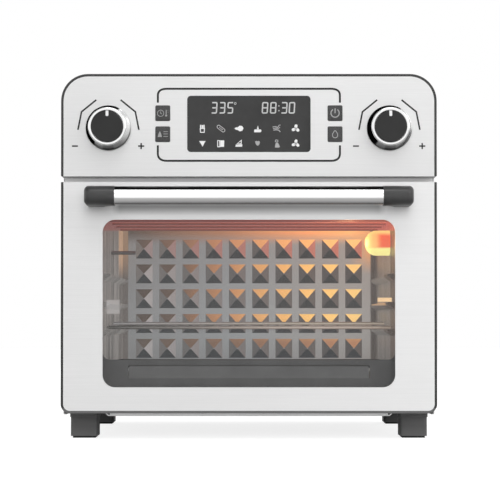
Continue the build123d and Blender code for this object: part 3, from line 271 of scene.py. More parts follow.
class Steps:
    """A node tree written as a few steps. A step takes sockets and plain numbers alike."""

    def __init__(self, tree):
        self.tree = tree

    def node(self, kind, **settings):
        made = self.tree.nodes.new("ShaderNode" + kind)
        for key, value in settings.items():
            setattr(made, key, value)
        return made

    def feed(self, value, socket):
        """Links an output to a socket, or sets the socket to a plain value. A value written
        as (output, low, high) is what between() makes of it."""
        if isinstance(value, tuple) and isinstance(value[0], bpy.types.NodeSocket):
            value = self.between(*value)
        if isinstance(value, bpy.types.NodeSocket):
            self.tree.links.new(value, socket)
        else:
            socket.default_value = (*value, 1.0) if socket.type == "RGBA" else value

    def fill(self, made, **values):
        """Feeds a node's sockets by name, whose spaces are written as low lines."""
        for key, value in values.items():
            self.feed(value, made.inputs[key.replace("_", " ")])

    def sums(self, operation, first, second):
        """One sum on two numbers."""
        made = self.node("Math", operation=operation)
        self.feed(first, made.inputs[0])
        self.feed(second, made.inputs[1])
        return made.outputs[0]

    def times(self, first, *others):
        for other in others:
            first = self.sums("MULTIPLY", first, other)
        return first

    def arrow(self, operation, first, second=None, out="Vector"):
        """One sum on directions."""
        made = self.node("VectorMath", operation=operation)
        self.feed(first, made.inputs[0])
        if second is not None:
            self.feed(second, made.inputs[1])
        return made.outputs[out]

    def between(self, value, low, high, start=0.0, end=1.0):
        """start where the value is at low, end where it is at high, held outside them."""
        mapped = self.node("MapRange")
        self.fill(mapped, From_Min=low, From_Max=high, To_Min=start, To_Max=end, Value=value)
        return mapped.outputs["Result"]

    def band(self, value, low, full, full_end, high):
        """1 from full to full_end, falling to 0 at low and at high."""
        return self.times((value, low, full), (value, high, full_end))


class Recipe(Steps):
    """A material: its own colour or grey level, roughness and share of metal, and the steps
    that vary them."""

    def __init__(self, name, colour, rough, metal=0.0, **sockets):
        self.finish = bpy.data.materials.new(name)
        self.finish.use_nodes = True
        super().__init__(self.finish.node_tree)
        self.shader = self.tree.nodes["Principled BSDF"]
        self.put(Base_Color=tone(colour), Roughness=rough, Metallic=metal, **sockets)

    def put(self, **sockets):
        """Sets or links the shader's own sockets."""
        self.fill(self.shader, **sockets)

    def noise(self, scale=1.0, detail=3.0, stretch=(1, 1, 1), rough=0.55):
        """Noise on the object's own coordinates, stretched per axis."""
        mapping, grain = self.node("Mapping"), self.node("TexNoise")
        self.fill(mapping, Vector=self.node("TexCoord").outputs["Object"], Scale=stretch)
        self.fill(grain, Vector=mapping.outputs["Vector"], Scale=scale, Detail=detail,
                  Roughness=rough)
        return grain.outputs["Fac"]

    def split(self, source):
        """The x, y and z sockets of the object's own coordinates or of the world normal."""
        made = (self.node("NewGeometry").outputs["Normal"] if source == "normal"
                else self.node("TexCoord").outputs["Object"])
        parts = self.node("SeparateXYZ")
        self.feed(made, parts.inputs["Vector"])
        return list(parts.outputs)

    def ramp(self, value, *stops):
        """A colour ramp. Each stop is its place from 0 to 1 and what tone() takes."""
        made = self.node("ValToRGB")
        elements = made.color_ramp.elements
        for _ in stops[2:]:
            elements.new(0.5)
        for element, stop in zip(elements, stops):
            element.position = stop[0]
        for element, stop in zip(elements, stops):
            element.color = (*tone(*stop[1:]), 1.0)
        self.feed(value, made.inputs["Fac"])
        return made.outputs["Color"]

    def blend(self, factor, first, second, kind="MIX"):
        """The first colour where the factor is 0, the second, or the two mixed in the way
        named, where it is 1."""
        made = self.node("Mix", data_type="RGBA", blend_type=kind)
        self.fill(made, Factor=factor, A=first, B=second)
        return made.outputs["Result"]

    def coats(self, colour, *coats):
        """A colour with coats laid over it: each is how much of it covers, and its colour,
        made by a step before or as screen levels."""
        for share, *coat in coats:
            made = isinstance(coat[0], bpy.types.NodeSocket)
            colour = self.blend(share, colour, coat[0] if made else tone(*coat))
        return colour

    def glows(self, colour, strength, inside=None):
        """The same colour as a faint glow of its own: painted light where it stands for the oven's
        lamp lighting a surface, and the own glow of the lamp's dome and of the hot rods. Where
        inside is given, it is 1 on the sheet's inner face, and the outer face stays a plain unlit
        grey."""
        if inside is not None:
            colour = self.blend(inside, tone(140), colour)
            strength = self.times(inside, strength)
        self.put(Base_Color=colour, Emission_Color=colour, Emission_Strength=strength)

    def roughen(self, value, low, high):
        """Roughness from low to high as noise runs over its usual 0.3 to 0.7."""
        self.put(Roughness=self.between(value, 0.3, 0.7, low, high))

    def tint(self, value, dark, light, at=(0.3, 0.7)):
        """Colour runs from dark to light as the value runs between the two stops."""
        self.put(Base_Color=self.ramp(value, (at[0], dark), (at[1], light)))

    def grain(self, value, low, high, strength, distance):
        """The same noise as roughness, from low to high, and as a bump."""
        self.roughen(value, low, high)
        bump = self.node("Bump")
        self.fill(bump, Strength=strength, Distance=distance, Height=value)
        self.put(Normal=bump.outputs["Normal"])


def brushed(name, level, stretch, rough=0.34, metal=0.75, depth=0.00002, glow=0.0):
    """Sheet steel with brush lines: fine noise drawn out along the brushing. Where glow is given,
    the sheet glows a little as painted light.
    """
    steel = Recipe(name, level, rough, metal, Emission_Color=(1, 1, 1),
                   Emission_Strength=glow)
    lines = steel.noise(1.0, 6.0, stretch, 0.7)
    steel.tint(lines, level - 3, level + 3)
    steel.grain(lines, rough - 0.07, rough + 0.08, 0.06, depth)
    return steel.finish


def moulded(name, level, rough, speckle=1400.0, depth=0.00006, warm=0.0):
    """Moulded plastic with a fine spark-eroded grain and a faint drift of tone."""
    plastic = Recipe(name, grey(level, warm), rough)
    drift = plastic.noise(38.0)
    plastic.tint(drift, grey(level - 5, warm), grey(level + 5, warm))
    grain = plastic.noise(speckle, 2.0)
    plastic.grain(grain, rough - 0.07, rough + 0.08, 0.25, depth)
    return plastic.finish


def spangled(name, level, rough, metal, scale):
    """Zinc-coated sheet: patches of crystals, each a slightly different grey."""
    zinc = Recipe(name, level, rough, metal)
    cells = zinc.node("TexVoronoi")
    zinc.fill(cells, Scale=scale, Vector=zinc.node("TexCoord").outputs["Object"])
    value = zinc.node("RGBToBW")
    zinc.fill(value, Color=cells.outputs["Color"])
    zinc.tint(value.outputs["Val"], level - 5, level + 5, (0.2, 0.8))
    zinc.roughen(value.outputs["Val"], rough - 0.03, rough + 0.04)
    return zinc.finish


def polished(name, level):
    """Polished plating with faint waviness and rubbing marks."""
    chrome = Recipe(name, level, 0.08, 1.0)
    wave = chrome.noise(300.0)
    chrome.tint(wave, level - 6, level + 4)
    chrome.grain(wave, 0.05, 0.13, 0.04, 0.00003)
    return chrome.finish


def pane(name, colour, alpha, rough=0.03):
    """A glass pane: mostly see-through, with a faint milky film and wiped streaks."""
    glass = Recipe(name, colour, rough, 0.0, Alpha=alpha, IOR=1.5)
    streaks = glass.noise(stretch=(3, 30, 18))
    glass.roughen(streaks, rough, rough + 0.05)
    glass.tint(streaks, tuple(c * 0.92 for c in colour), colour)
    return glass.finish


def door_steel(name, level, top, foot, half):
    """The door's brushed sheet, with the handle's close shade painted on it from top down to foot
    as a darker band, and a little more light low down and to the right painted on as a glow."""
    steel = Recipe(name, level, 0.4, 0.5, Emission_Color=(1, 1, 1))
    x, _, z = steel.split("object")
    lines = steel.noise(1.0, 6.0, (14, 900, 900), 0.7)
    plain = steel.ramp((lines, 0.3, 0.7), (0.0, level - 3), (1.0, level + 3))
    shade = steel.band(z, foot, top, top + 0.016, top + 0.02)
    ends = steel.band(x, -half - 0.004, -half + 0.004, half - 0.004, half + 0.004)
    steel.put(Base_Color=steel.blend(steel.times(shade, ends, 0.72), plain, tone(96)))
    steel.grain(lines, 0.33, 0.48, 0.06, 0.00002)
    low_down = steel.sums("ADD", steel.times((z, 0.24, 0.03), 0.08), 0.03)
    to_right = steel.times((x, -0.05, 0.19), 0.045)
    steel.put(Emission_Strength=steel.sums("ADD", low_down, to_right))
    return steel.finish


def embossed(name, strength):
    """The embossed back wall, painted with the light of the oven's lamp, which sits at the upper
    right, by each facet's world normal and shown as a glow: facets that face up are painted lit
    warm, more so towards the lamp, those that face right are painted light on the left, and those
    that face down or left are painted dark as shade."""
    steel = Recipe(name, 150, 0.4, 0.1)
    x, _, z = steel.split("object")
    normal_x, normal_y, normal_z = steel.split("normal")
    across = steel.between(x, -0.15, 0.15)
    # The flats, in painted light and shade: painted lamp light warm along the top, beside the lamp
    # and high on the left edge, and painted shade low down and along both sides.
    flat = steel.ramp(across, (0.0, 138, 140, 141), (0.5, 151, 156, 158), (1.0, 163, 161, 158))
    glow = steel.ramp(across, (0.0, 92, 88, 84), (0.4, 178, 134, 106), (0.75, 246, 178, 124),
                      (1.0, 255, 205, 140))
    edge = steel.between(x, -0.1478, -0.1490)
    flats = steel.coats(
        flat, ((z, 0.218, 0.233), glow),
        (steel.times((x, 0.122, 0.148), (z, 0.182, 0.206)), 226, 174, 128),
        (steel.times((z, 0.12, 0.07), 0.25), 100, 98, 96),
        ((x, 0.1485, 0.1505), 92, 88, 85), (edge, 110, 106, 103),
        (steel.times(edge, (z, 0.176, 0.206)), 150, 130, 112))
    # The facets that face up, painted lit, duller in the lowest row as painted shade and paler in
    # the top row as painted light.
    up = steel.ramp(across, (0.0, 84, 80, 77), (0.2, 106, 94, 86), (0.42, 196, 148, 108),
                    (0.62, 238, 190, 124), (0.8, 255, 214, 134), (1.0, 255, 222, 148))
    dull = steel.ramp(across, (0.0, 92, 88, 84), (0.5, 138, 112, 94), (1.0, 186, 140, 108))
    pale = steel.ramp(across, (0.0, 96, 93, 91), (0.4, 200, 150, 118), (1.0, 250, 190, 140))
    top_row = steel.between(z, 0.196, 0.203)
    up = steel.coats(up, ((z, 0.128, 0.098), dull), (steel.times(top_row, 0.45), pale))
    # The facets that face right, painted lighter towards the left and with a painted pink
    # reflection of the rods in the top row; then those that face left and those that face down, in
    # painted shade.
    right = steel.ramp(across, (0.0, 176, 175, 175), (0.3, 140, 136, 136), (0.6, 112, 108, 106),
                       (1.0, 104, 98, 95))
    pink = steel.ramp(across, (0.0, 150, 146, 146), (0.3, 166, 130, 126), (1.0, 206, 132, 116))
    left = steel.ramp(across, (0.0, 118, 116, 115), (0.4, 104, 104, 104), (1.0, 88, 86, 86))
    colour = steel.coats(
        flats, ((normal_z, 0.2, 0.4), up),
        ((normal_x, 0.2, 0.4), steel.blend(top_row, right, pink)),
        ((normal_x, -0.2, -0.4), left), ((normal_z, -0.2, -0.4), 72, 74, 76))
    mottle = steel.noise(240.0)
    steel.grain(mottle, 0.34, 0.46, 0.05, 0.00002)
    steel.glows(colour, strength, (normal_y, 0.2, -0.2))
    return steel.finish


def wall_steel(name, strength):
    """The cavity's side walls, painted with light and shown as a glow: sheet whose mirroring of
    its surroundings is painted as soft upright bands, with painted lamp light warmer towards the
    lamp at the upper right, painted shade on the right wall and at its ends and in the left wall's
    back corner, a painted golden reflection of the lamp high in that corner, the rods' red glow
    painted along the top under the rods, and a few small painted reflections."""
    steel = Recipe(name, 130, 0.34, 0.3)
    x, y, z = steel.split("object")
    bands = steel.noise(1.0, 3.0, (4, 46, 6), 0.6)
    colour = steel.ramp((bands, 0.36, 0.64), (0.0, 78, 76, 74),
                        (0.45, 118, 116, 113), (1.0, 148, 145, 142))
    left, right = (x, -0.1, -0.14), (x, 0.1, 0.14)
    corner = steel.times((y, 0.086, 0.094), left)
    # Painted light and shade: the right wall darker as painted shade, painted lamp light high on
    # it, painted shade and a painted golden reflection of the lamp in the left wall's back corner,
    # and painted shade at the right wall's back and front ends.
    colour = steel.coats(
        colour, (steel.times((x, 0.0, 0.1), 0.35), 70, 66, 62),
        (steel.times((z, 0.16, 0.23), (x, 0.05, 0.17), 0.4), 180, 146, 110),
        (steel.times(corner, 0.5), 92, 86, 82),
        (steel.times(corner, (z, 0.176, 0.196)), 180, 150, 124),
        (steel.times((y, 0.108, 0.120), right), 84, 79, 76),
        (steel.times((y, -0.056, -0.068), right, 0.8), 84, 74, 68))
    # Reflections laid out along lines that run back into the oven and draw together: sideways
    # and level are the distances from the oven's middle and from a height of 120 mm, divided
    # by 1 at the door and more further in. On the right a golden pair of bars over a dark
    # one, on the left a pale patch.
    away = steel.sums("ADD", steel.times(steel.sums("ADD", y, 0.152), 0.588), 1.0)
    level = steel.sums("DIVIDE", steel.sums("ADD", z, -0.12), away)
    sideways = steel.sums("DIVIDE", x, away)
    along = steel.times(steel.band(y, -0.088, -0.078, 0.110, 0.118), right)
    soft = 0.0004
    for low, high, share, shown in ((0.0148, 0.0198, 0.8, tone(84, 80, 78)),
                                    (0.0200, 0.0229, 1.0, tone(190, 156, 120)),
                                    (0.0237, 0.0280, 1.0, tone(246, 216, 168))):
        one = steel.band(level, low - soft, low + soft, high - soft, high + soft)
        colour = steel.blend(steel.times(one, along, share), colour, shown)
    pale = steel.times(steel.band(level, 0.0106, 0.0118, 0.0250, 0.0262),
                       steel.band(sideways, -0.1492, -0.1474, -0.1354, -0.1338), 0.8)
    # The rods' red glow painted in a thin band along the top of each wall, redder on the right.
    slope = steel.sums("ADD", steel.times(y, -0.0577), z)
    red = steel.blend((x, -0.1, 0.1), tone(134, 96, 94), tone(176, 104, 98))
    colour = steel.coats(colour, (pale, 178, 176, 175), ((slope, 0.2262, 0.2272), red))
    normal_x, _, _ = steel.split("normal")
    steel.glows(colour, strength, steel.between(steel.times(normal_x, x), 0.08, 0.03))
    steel.roughen(bands, 0.26, 0.44)
    return steel.finish


def ceiling_steel(name, strength):
    """The ceiling over the glowing rods, painted with light and shown as a glow: the rods' red
    glow painted between them, and the lamp's warm light painted at the back near the lamp."""
    steel = Recipe(name, 120, 0.4, 0.2)
    x, y, _ = steel.split("object")
    across = steel.between(x, -0.15, 0.15)
    red = steel.ramp(across, (0.0, 106, 74, 73), (0.5, 128, 68, 64), (1.0, 160, 80, 72))
    warm = steel.ramp(across, (0.0, 116, 112, 108), (0.5, 196, 146, 112), (1.0, 255, 200, 134))
    colour = steel.blend((y, 0.112, 0.128), red, warm)
    _, _, normal_z = steel.split("normal")
    steel.glows(colour, strength, (normal_z, 0.2, -0.2))
    steel.roughen(steel.noise(200.0), 0.34, 0.46)
    return steel.finish


def warm_rod(name, strength):
    """A heater rod that glows a dull red, with painted light by its world normal: a painted
    highlight as a pale line along its side, painted shade dark above and below, and painted lamp
    light brighter towards the lamp's end."""
    rod = Recipe(name, tone(150, 90, 86), 0.4)
    x, _, _ = rod.split("object")
    _, _, normal_z = rod.split("normal")
    skin = rod.ramp((normal_z, -1.0, 1.0), (0.0, 118, 80, 78), (0.3, 160, 98, 92),
                    (0.5, 206, 142, 134), (0.62, 184, 108, 100), (1.0, 122, 72, 70))
    end = rod.blend((x, -0.16, 0.16), tone(196), tone(255, 240, 232))
    rod.glows(rod.blend(1.0, skin, end, "MULTIPLY"), strength)
    rod.roughen(rod.noise(stretch=(6, 40, 40)), 0.3, 0.5)
    return rod.finish


def lit_dome(name, strength):
    """The lamp's dome: pale yellow below, yellow to the left and above, and a red patch near
    the wall."""
    dome = Recipe(name, tone(255, 220, 150), 0.15)
    x, _, z = dome.split("object")
    side = dome.ramp((x, 0.127, 0.155), (0.0, 255, 232, 150), (0.35, 254, 205, 130),
                     (0.6, 254, 180, 118), (1.0, 252, 190, 130))
    red = dome.times((x, 0.140, 0.1455),
                     dome.band(z, 0.2035, 0.2050, 0.2170, 0.2215))
    dome.glows(dome.coats(side, (red, 244, 120, 88),
                          ((z, 0.2050, 0.2030), 255, 245, 160),
                          ((z, 0.2180, 0.2225), 255, 226, 140)), strength)
    dome.roughen(dome.noise(500.0, 2.0), 0.1, 0.2)
    return dome.finish


def chromed_knob(name, ring_plane, foot_plane):
    """A knob's plating with a painted reflection. The studio's dark end lies up to the left: the
    skirt shows it as a painted black crescent wherever its world normal leans that way, and
    painted greys underneath. The ring in front of ring_plane stays painted bright, and the foot
    behind foot_plane is painted a little darker as shade."""
    chrome = Recipe(name, 240, 0.12, 1.0, Specular_IOR_Level=0.0)
    normal = chrome.node("NewGeometry").outputs["Normal"]
    unit = chrome.arrow("NORMALIZE", chrome.arrow("MULTIPLY", normal, (1, 0, 1)))
    up_left = chrome.arrow("DOT_PRODUCT", unit, (-0.82, 0, 0.57), "Value")
    down = chrome.arrow("DOT_PRODUCT", unit, (0.02, 0, -1.0), "Value")
    _, y, _ = chrome.split("object")
    under = chrome.ramp((down, 0.0, 1.0), (0.0, 250), (0.45, 226), (0.8, 128),
                        (0.955, 118), (0.975, 36), (1.0, 30))
    foot = chrome.ramp((down, -1.0, 1.0), (0.0, 215), (0.35, 190), (0.6, 120),
                       (1.0, 92))
    colour = chrome.blend((y, foot_plane - 0.0004, foot_plane), under, foot)
    crescent = chrome.between(up_left, 0.04, 0.13)
    ring = chrome.between(y, ring_plane + 0.0003, ring_plane)
    colour = chrome.blend(crescent, colour, tone(9))
    bare = chrome.sums("SUBTRACT", 1.0, crescent)
    chrome.put(Base_Color=chrome.blend(ring, colour, tone(248)),
               Metallic=chrome.sums("MAXIMUM", bare, ring))
    chrome.roughen(chrome.noise(300.0), 0.09, 0.16)
    return chrome.finish


def chromed_tube(name):
    """The handle's plating with a painted reflection by its world normal: a black line along the
    top, bright down to past the middle, then grey, and a dark line underneath; and a painted glow
    on its lower part, strongest just below the middle, for light thrown back up by the worktop."""
    chrome = Recipe(name, 240, 0.1, 1.0, Emission_Strength=1.0)
    _, _, normal_z = chrome.split("normal")
    upward = chrome.between(normal_z, -1.0, 1.0)
    chrome.put(
        Base_Color=chrome.ramp(upward, (0.0, 150), (0.09, 160), (0.2, 226), (0.33, 240),
                               (0.40, 253), (0.79, 253), (0.85, 26), (1.0, 12)),
        Emission_Color=chrome.ramp(upward, (0.0, 84), (0.06, 80), (0.12, 92), (0.26, 92),
                                   (0.31, 104), (0.36, 192), (0.46, 204), (0.52, 120),
                                   (0.58, 0)))
    chrome.roughen(chrome.noise(stretch=(2, 40, 40)), 0.08, 0.14)
    return chrome.finish


def rack_chrome(name, strength):
    """The rack's plating, painted with light and shown as a glow: a painted highlight where it
    faces the door, painted shade above and below, and painted lamp light, paler and warmer,
    towards the lamp's side."""
    chrome = Recipe(name, 150, 0.3, 0.5)
    x, _, z = chrome.split("object")
    _, _, normal_z = chrome.split("normal")
    across = chrome.between(x, -0.15, 0.15)
    rim = chrome.ramp(across, (0.0, 102, 101, 98), (0.25, 128, 123, 119), (0.5, 176, 163, 154),
                      (0.75, 196, 179, 168), (1.0, 178, 162, 148))
    top = chrome.ramp(across, (0.0, 156, 154, 154), (0.4, 166, 158, 152), (0.7, 184, 172, 158),
                      (1.0, 182, 168, 154))
    colour = chrome.blend((z, 0.1195, 0.1200), rim, top)
    shade = chrome.ramp((normal_z, -1.0, 1.0), (0.0, 120), (0.1, 180), (0.2, 246),
                        (0.5, 254), (0.62, 230), (0.75, 184), (1.0, 164))
    chrome.glows(chrome.blend(1.0, colour, shade, "MULTIPLY"), strength)
    wave = chrome.noise(180.0)
    chrome.grain(wave, 0.27, 0.35, 0.04, 0.00003)
    return chrome.finish


def rim_paint(name, foot=0.0, foot_level=52):
    """The dark rim round the panel or the door, painted a bright grey where it faces down as
    painted light, and painted paler below foot as painted light."""
    rim = Recipe(name, 52, 0.24)
    _, _, z = rim.split("object")
    _, _, normal_z = rim.split("normal")
    rim.put(Base_Color=rim.coats(tone(50), ((normal_z, -0.5, -0.8), 200),
                                 ((z, foot, foot - 0.001), foot_level)))
    rim.roughen(rim.noise(1400.0, 2.0), 0.2, 0.3)
    return rim.finish


def foot_paint(name, level):
    """A foot's plastic, painted a little paler at its ends as painted light, where the studio's
    lamps reach it less.
    """
    plastic = Recipe(name, level, 0.5)
    _, _, z = plastic.split("object")
    grain = plastic.noise(1400.0, 2.0)
    plastic.put(Base_Color=plastic.ramp((z, 0.0, 0.028), (0.0, level + 16),
                                        (0.45, level), (0.75, level + 14), (1.0, level + 40)))
    plastic.grain(grain, 0.43, 0.58, 0.25, 0.00006)
    return plastic.finish


def pan_sheet(name, level):
    """The base pan's sheet, whose front-facing faces glow a little: painted light for its front
    edge catching the light under the door.
    """
    sheet = Recipe(name, level, 0.45, 0.3, Emission_Color=(1, 1, 1))
    _, normal_y, _ = sheet.split("normal")
    grain = sheet.noise(260.0)
    sheet.tint(grain, level - 5, level + 5)
    sheet.roughen(grain, 0.38, 0.52)
    sheet.put(Emission_Strength=sheet.times((normal_y, -0.5, -0.9), 0.36))
    return sheet.finish


knob_front, knob_back = span("knob_left")[0][1], span("knob_left")[1][1]
# INSIDE_GLOW is the strength of the painted glow that stands in for the oven's own lamp's light on
# the cavity's walls and ceiling.
INSIDE_GLOW = 0.86  # share of the cavity's look that comes from the oven's own lamp
FINISH = {made.name.split(".")[0]: made for made in (
    brushed("brushed_steel", 228, (14, 900, 900), 0.4, 0.5),
    door_steel("door_steel", 230, 0.2425, 0.2335, 0.139),
    polished("polished_metal", 236),
    moulded("black_plastic", 58, 0.38),
    moulded("black_rubber", 44, 0.72, 700.0, 0.00012),
    moulded("smoked_glass", 40, 0.12, 260.0, 0.00001),
    pane("clear_glass", grey(96), 0.08),
    # gap_steel glows a little: painted light for the strips seen in the gaps.
    brushed("gap_steel", 246, (14, 500, 500), 0.3, 0.2, glow=0.16),
    embossed("back_wall_steel", INSIDE_GLOW),
    wall_steel("side_wall_steel", INSIDE_GLOW),
    ceiling_steel("ceiling_steel", INSIDE_GLOW),
    rim_paint("panel_edge"),
    rim_paint("door_edge", 0.0335, 104),
    pan_sheet("pan_steel", 186),
    foot_paint("foot_plastic", 90),
    lit_dome("lit_glass", 1.0),
    warm_rod("glowing_rod", 1.12),
    moulded("cavity_grey", 110, 0.42, 1100.0, 0.00004),
    moulded("tray_grey", 129, 0.42, 1100.0, 0.00004),
    moulded("cold_rod", 92, 0.5, 900.0, 0.00004),
    rack_chrome("wire_chrome", 0.7),
    spangled("zinc_steel", 186, 0.42, 0.6, 330.0),
    brushed("fan_aluminium", 205, (500, 500, 60), 0.36, 0.9),
    spangled("motor_iron", 96, 0.5, 0.6, 420.0),
    moulded("white_ceramic", 224, 0.5, 900.0, 0.00003, 0.03),
    moulded("circuit_board", 70, 0.45, 620.0, 0.00004, -0.35),
    moulded("dial_black", 22, 0.42, 1500.0, 0.00004),
    moulded("key_black", 58, 0.3, 1500.0, 0.00003),
    *(moulded(ink + "_ink", level, 0.5, 2200.0, 0.00001) for ink, level in (
        ("black", 16), ("white", 240), ("soft", 198), ("faint", 172), ("key", 158))),
    chromed_tube("tube_chrome"),
    chromed_knob("knob_chrome", (knob_front + 1.35) * MM, (knob_back - 2.1) * MM),
)}

# Every imported node wears its slot's finish, or the one OWN_FINISH gives it; pieces made below
# take its place where finer.
OWN_FINISH = {"control_trim": "panel_edge", "door_trim": "door_edge",
              **{"foot_" + end + side: "foot_plastic" for end in ("front", "rear")
                 for side in ("_left", "_right")},
              "cavity_back": "back_wall_steel", "cavity_side_left": "side_wall_steel",
              "cavity_side_right": "side_wall_steel", "cavity_ceiling": "ceiling_steel",
              "crumb_tray": "tray_grey", "door_skin": "door_steel", "base_pan": "pan_steel"}
for row in frame["record"]["subparts"]:
    worn = nodes[row["node"]].data.materials
    worn.clear()
    worn.append(FINISH[OWN_FINISH.get(row["node"], row["material_slot"])])


# ---------------------------------------------------------------- control panel

panel_face = span("control_fascia")[0][1]


def knob(side, body):
    """A chrome skirt turned on a lathe, its rolled ring, the black face and its pointer."""
    low, high = span("knob_" + side)
    centre = middle("knob_" + side)
    centre[1] = high[1]
    reach = high[1] - low[1]
    t = np.linspace(0, 1, 12)
    taper = list(zip(22.7 - 2.7 * t, 2.2 + (reach - 4.2) * t ** 1.7))
    lip = np.linspace(0, math.pi / 2, 7)
    ring = list(zip(18.7 + 1.2 * np.cos(lip), reach - 1.2 + 1.2 * np.sin(lip)))
    profile = ([(0, 0), (22.9, 0), (23.5, 0.5), (23.5, 1.6), (23.2, 2.1)] + taper + ring
               + [(17.0, reach - 0.1), (16.5, reach - 0.5), (16.4, reach - 1.2),
                  (0, reach - 1.2)])
    skirt = shell("knob_skirt_" + side, [turned(profile, centre, "front", 96)],
                  "knob_chrome", body, 30)
    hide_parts("knob_" + side)
    face_low = span("knob_face_" + side)[0][1]
    rise = high[1] - face_low
    face = [(0, rise - 1.4), (16.3, rise - 1.4), (16.3, rise - 0.3), (16.0, rise), (0, rise)]
    disc = shell("knob_cap_" + side, [turned(face, centre, "front", 96)],
                 "dial_black", body)
    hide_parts("knob_face_" + side)
    front = [centre[0], face_low, centre[2]]
    mark = [(-1.5, 16.2), (-1.5, 11.2), (-0.9, 10.4), (0.9, 10.4), (1.5, 11.2), (1.5, 16.2)]
    shell("knob_pointer_" + side, [patch(mark, front, ink=(-0.3, 0.03))], "white_ink",
          body)


knob("left", "left_knob")
knob("right", "right_knob")

# Dial marks: a bent line on each side of a knob, a minus at its lower left and a plus at its
# lower right, all measured from the knob's middle.
DIAL_LINE = [(12.7, 29.5), (28.1, 17.0), (31.8, -1.8)]
DIAL_MARKS = [(DIAL_LINE, 1.7), ([(-x, z) for x, z in DIAL_LINE], 1.7),
              ([(-38.0, -18.8), (-31.8, -18.8)], 1.5), ([(31.0, -18.8), (37.4, -18.8)], 1.5),
              ([(34.2, -22.0), (34.2, -15.6)], 1.5)]
for side in ("left", "right"):
    origin = middle("knob_" + side)
    origin[1] = panel_face
    shell("dial_marks_" + side, [line(points, width, origin) for points, width in DIAL_MARKS],
          "black_ink", "housing")

# The printed frame runs round the display in two halves that stop at the keys.
frame_half, frame_corner, frame_width = 95.0, 9.5, 2.1
halves = [fillet([(-frame_half, stop), (-frame_half, level), (frame_half, level),
                  (frame_half, stop)], frame_corner, steps=9)
          for stop, level in ((351.6, 366.1), (307.0, 290.8))]
shell("display_frame_print", [line(half, frame_width, [0, panel_face, 0]) for half in halves],
      "black_ink", "housing")

# Numerals: closed loops and bars of a seven-bar display, leaning a little to the right.
LEAN = 0.06
DIGIT_FOOT, DIGIT_HEIGHT = 340.8, 10.8


def numeral(kind, w, h):
    """The strokes of one numeral, w wide and h high, whose lower left corner is at the
    origin."""
    m = h / 2
    return {
        "8": [([(0, 0), (w, 0), (w, h), (0, h)], True), ([(0.3, m), (w - 0.3, m)], False)],
        "0": [([(0, 0), (w, 0), (w, h), (0, h)], True)],
        "3": [([(0, h), (w, h), (w, 0), (0, 0)], False), ([(0.4, m), (w, m)], False)],
        "5": [([(w, h), (0, h), (0, m), (w, m), (w, 0), (0, 0)], False)],
    }[kind]


glass_face = span("display_window")[0][1]
digits = []


def write(text, x, width, pitch):
    """Adds numerals that start at x and follow each other by the pitch."""
    for index, kind in enumerate(text):
        for points, closed in numeral(kind, width, DIGIT_HEIGHT):
            points = fillet(points, 1.3, closed) if len(points) > 2 else np.array(points)
            points = points + np.array([x + index * pitch, DIGIT_FOOT])
            points[:, 0] += LEAN * (points[:, 1] - DIGIT_FOOT)
            digits.append(line(points, 1.35, [0, glass_face, 0], closed))


write("335", -38.9, 5.0, 8.35)
write("88", 13.9, 5.2, 8.6)
write("30", 34.0, 5.2, 8.0)
shell("display_numerals", digits, "soft_ink", "housing")
faint = [patch(arc(0.75, 0, 330, 12, (31.3, height)), [0, glass_face, 0])
         for height in (343.2, 348.2)]
faint.append(line(arc(1.0, 0, 345, 16, (-14.3, 350.7)), 0.7, [0, glass_face, 0], True))

# Pictograms, drawn about their own middles. A shape is (outline,) when it is filled, (points,
# pen width) when it is an open line and (points, pen width, True) when the line closes.
BLADE = [(-0.7, 0.1), (-1.3, 1.3), (-1.4, 2.8), (-0.6, 4.2), (0.8, 4.5), (1.8, 3.6), (1.8, 2.1),
         (1.0, 0.4)]


def spun(points, degrees):
    """The points turned about the origin."""
    a = math.radians(degrees)
    turn = np.array([[math.cos(a), math.sin(a)], [-math.sin(a), math.cos(a)]])
    return np.asarray(points, float) @ turn


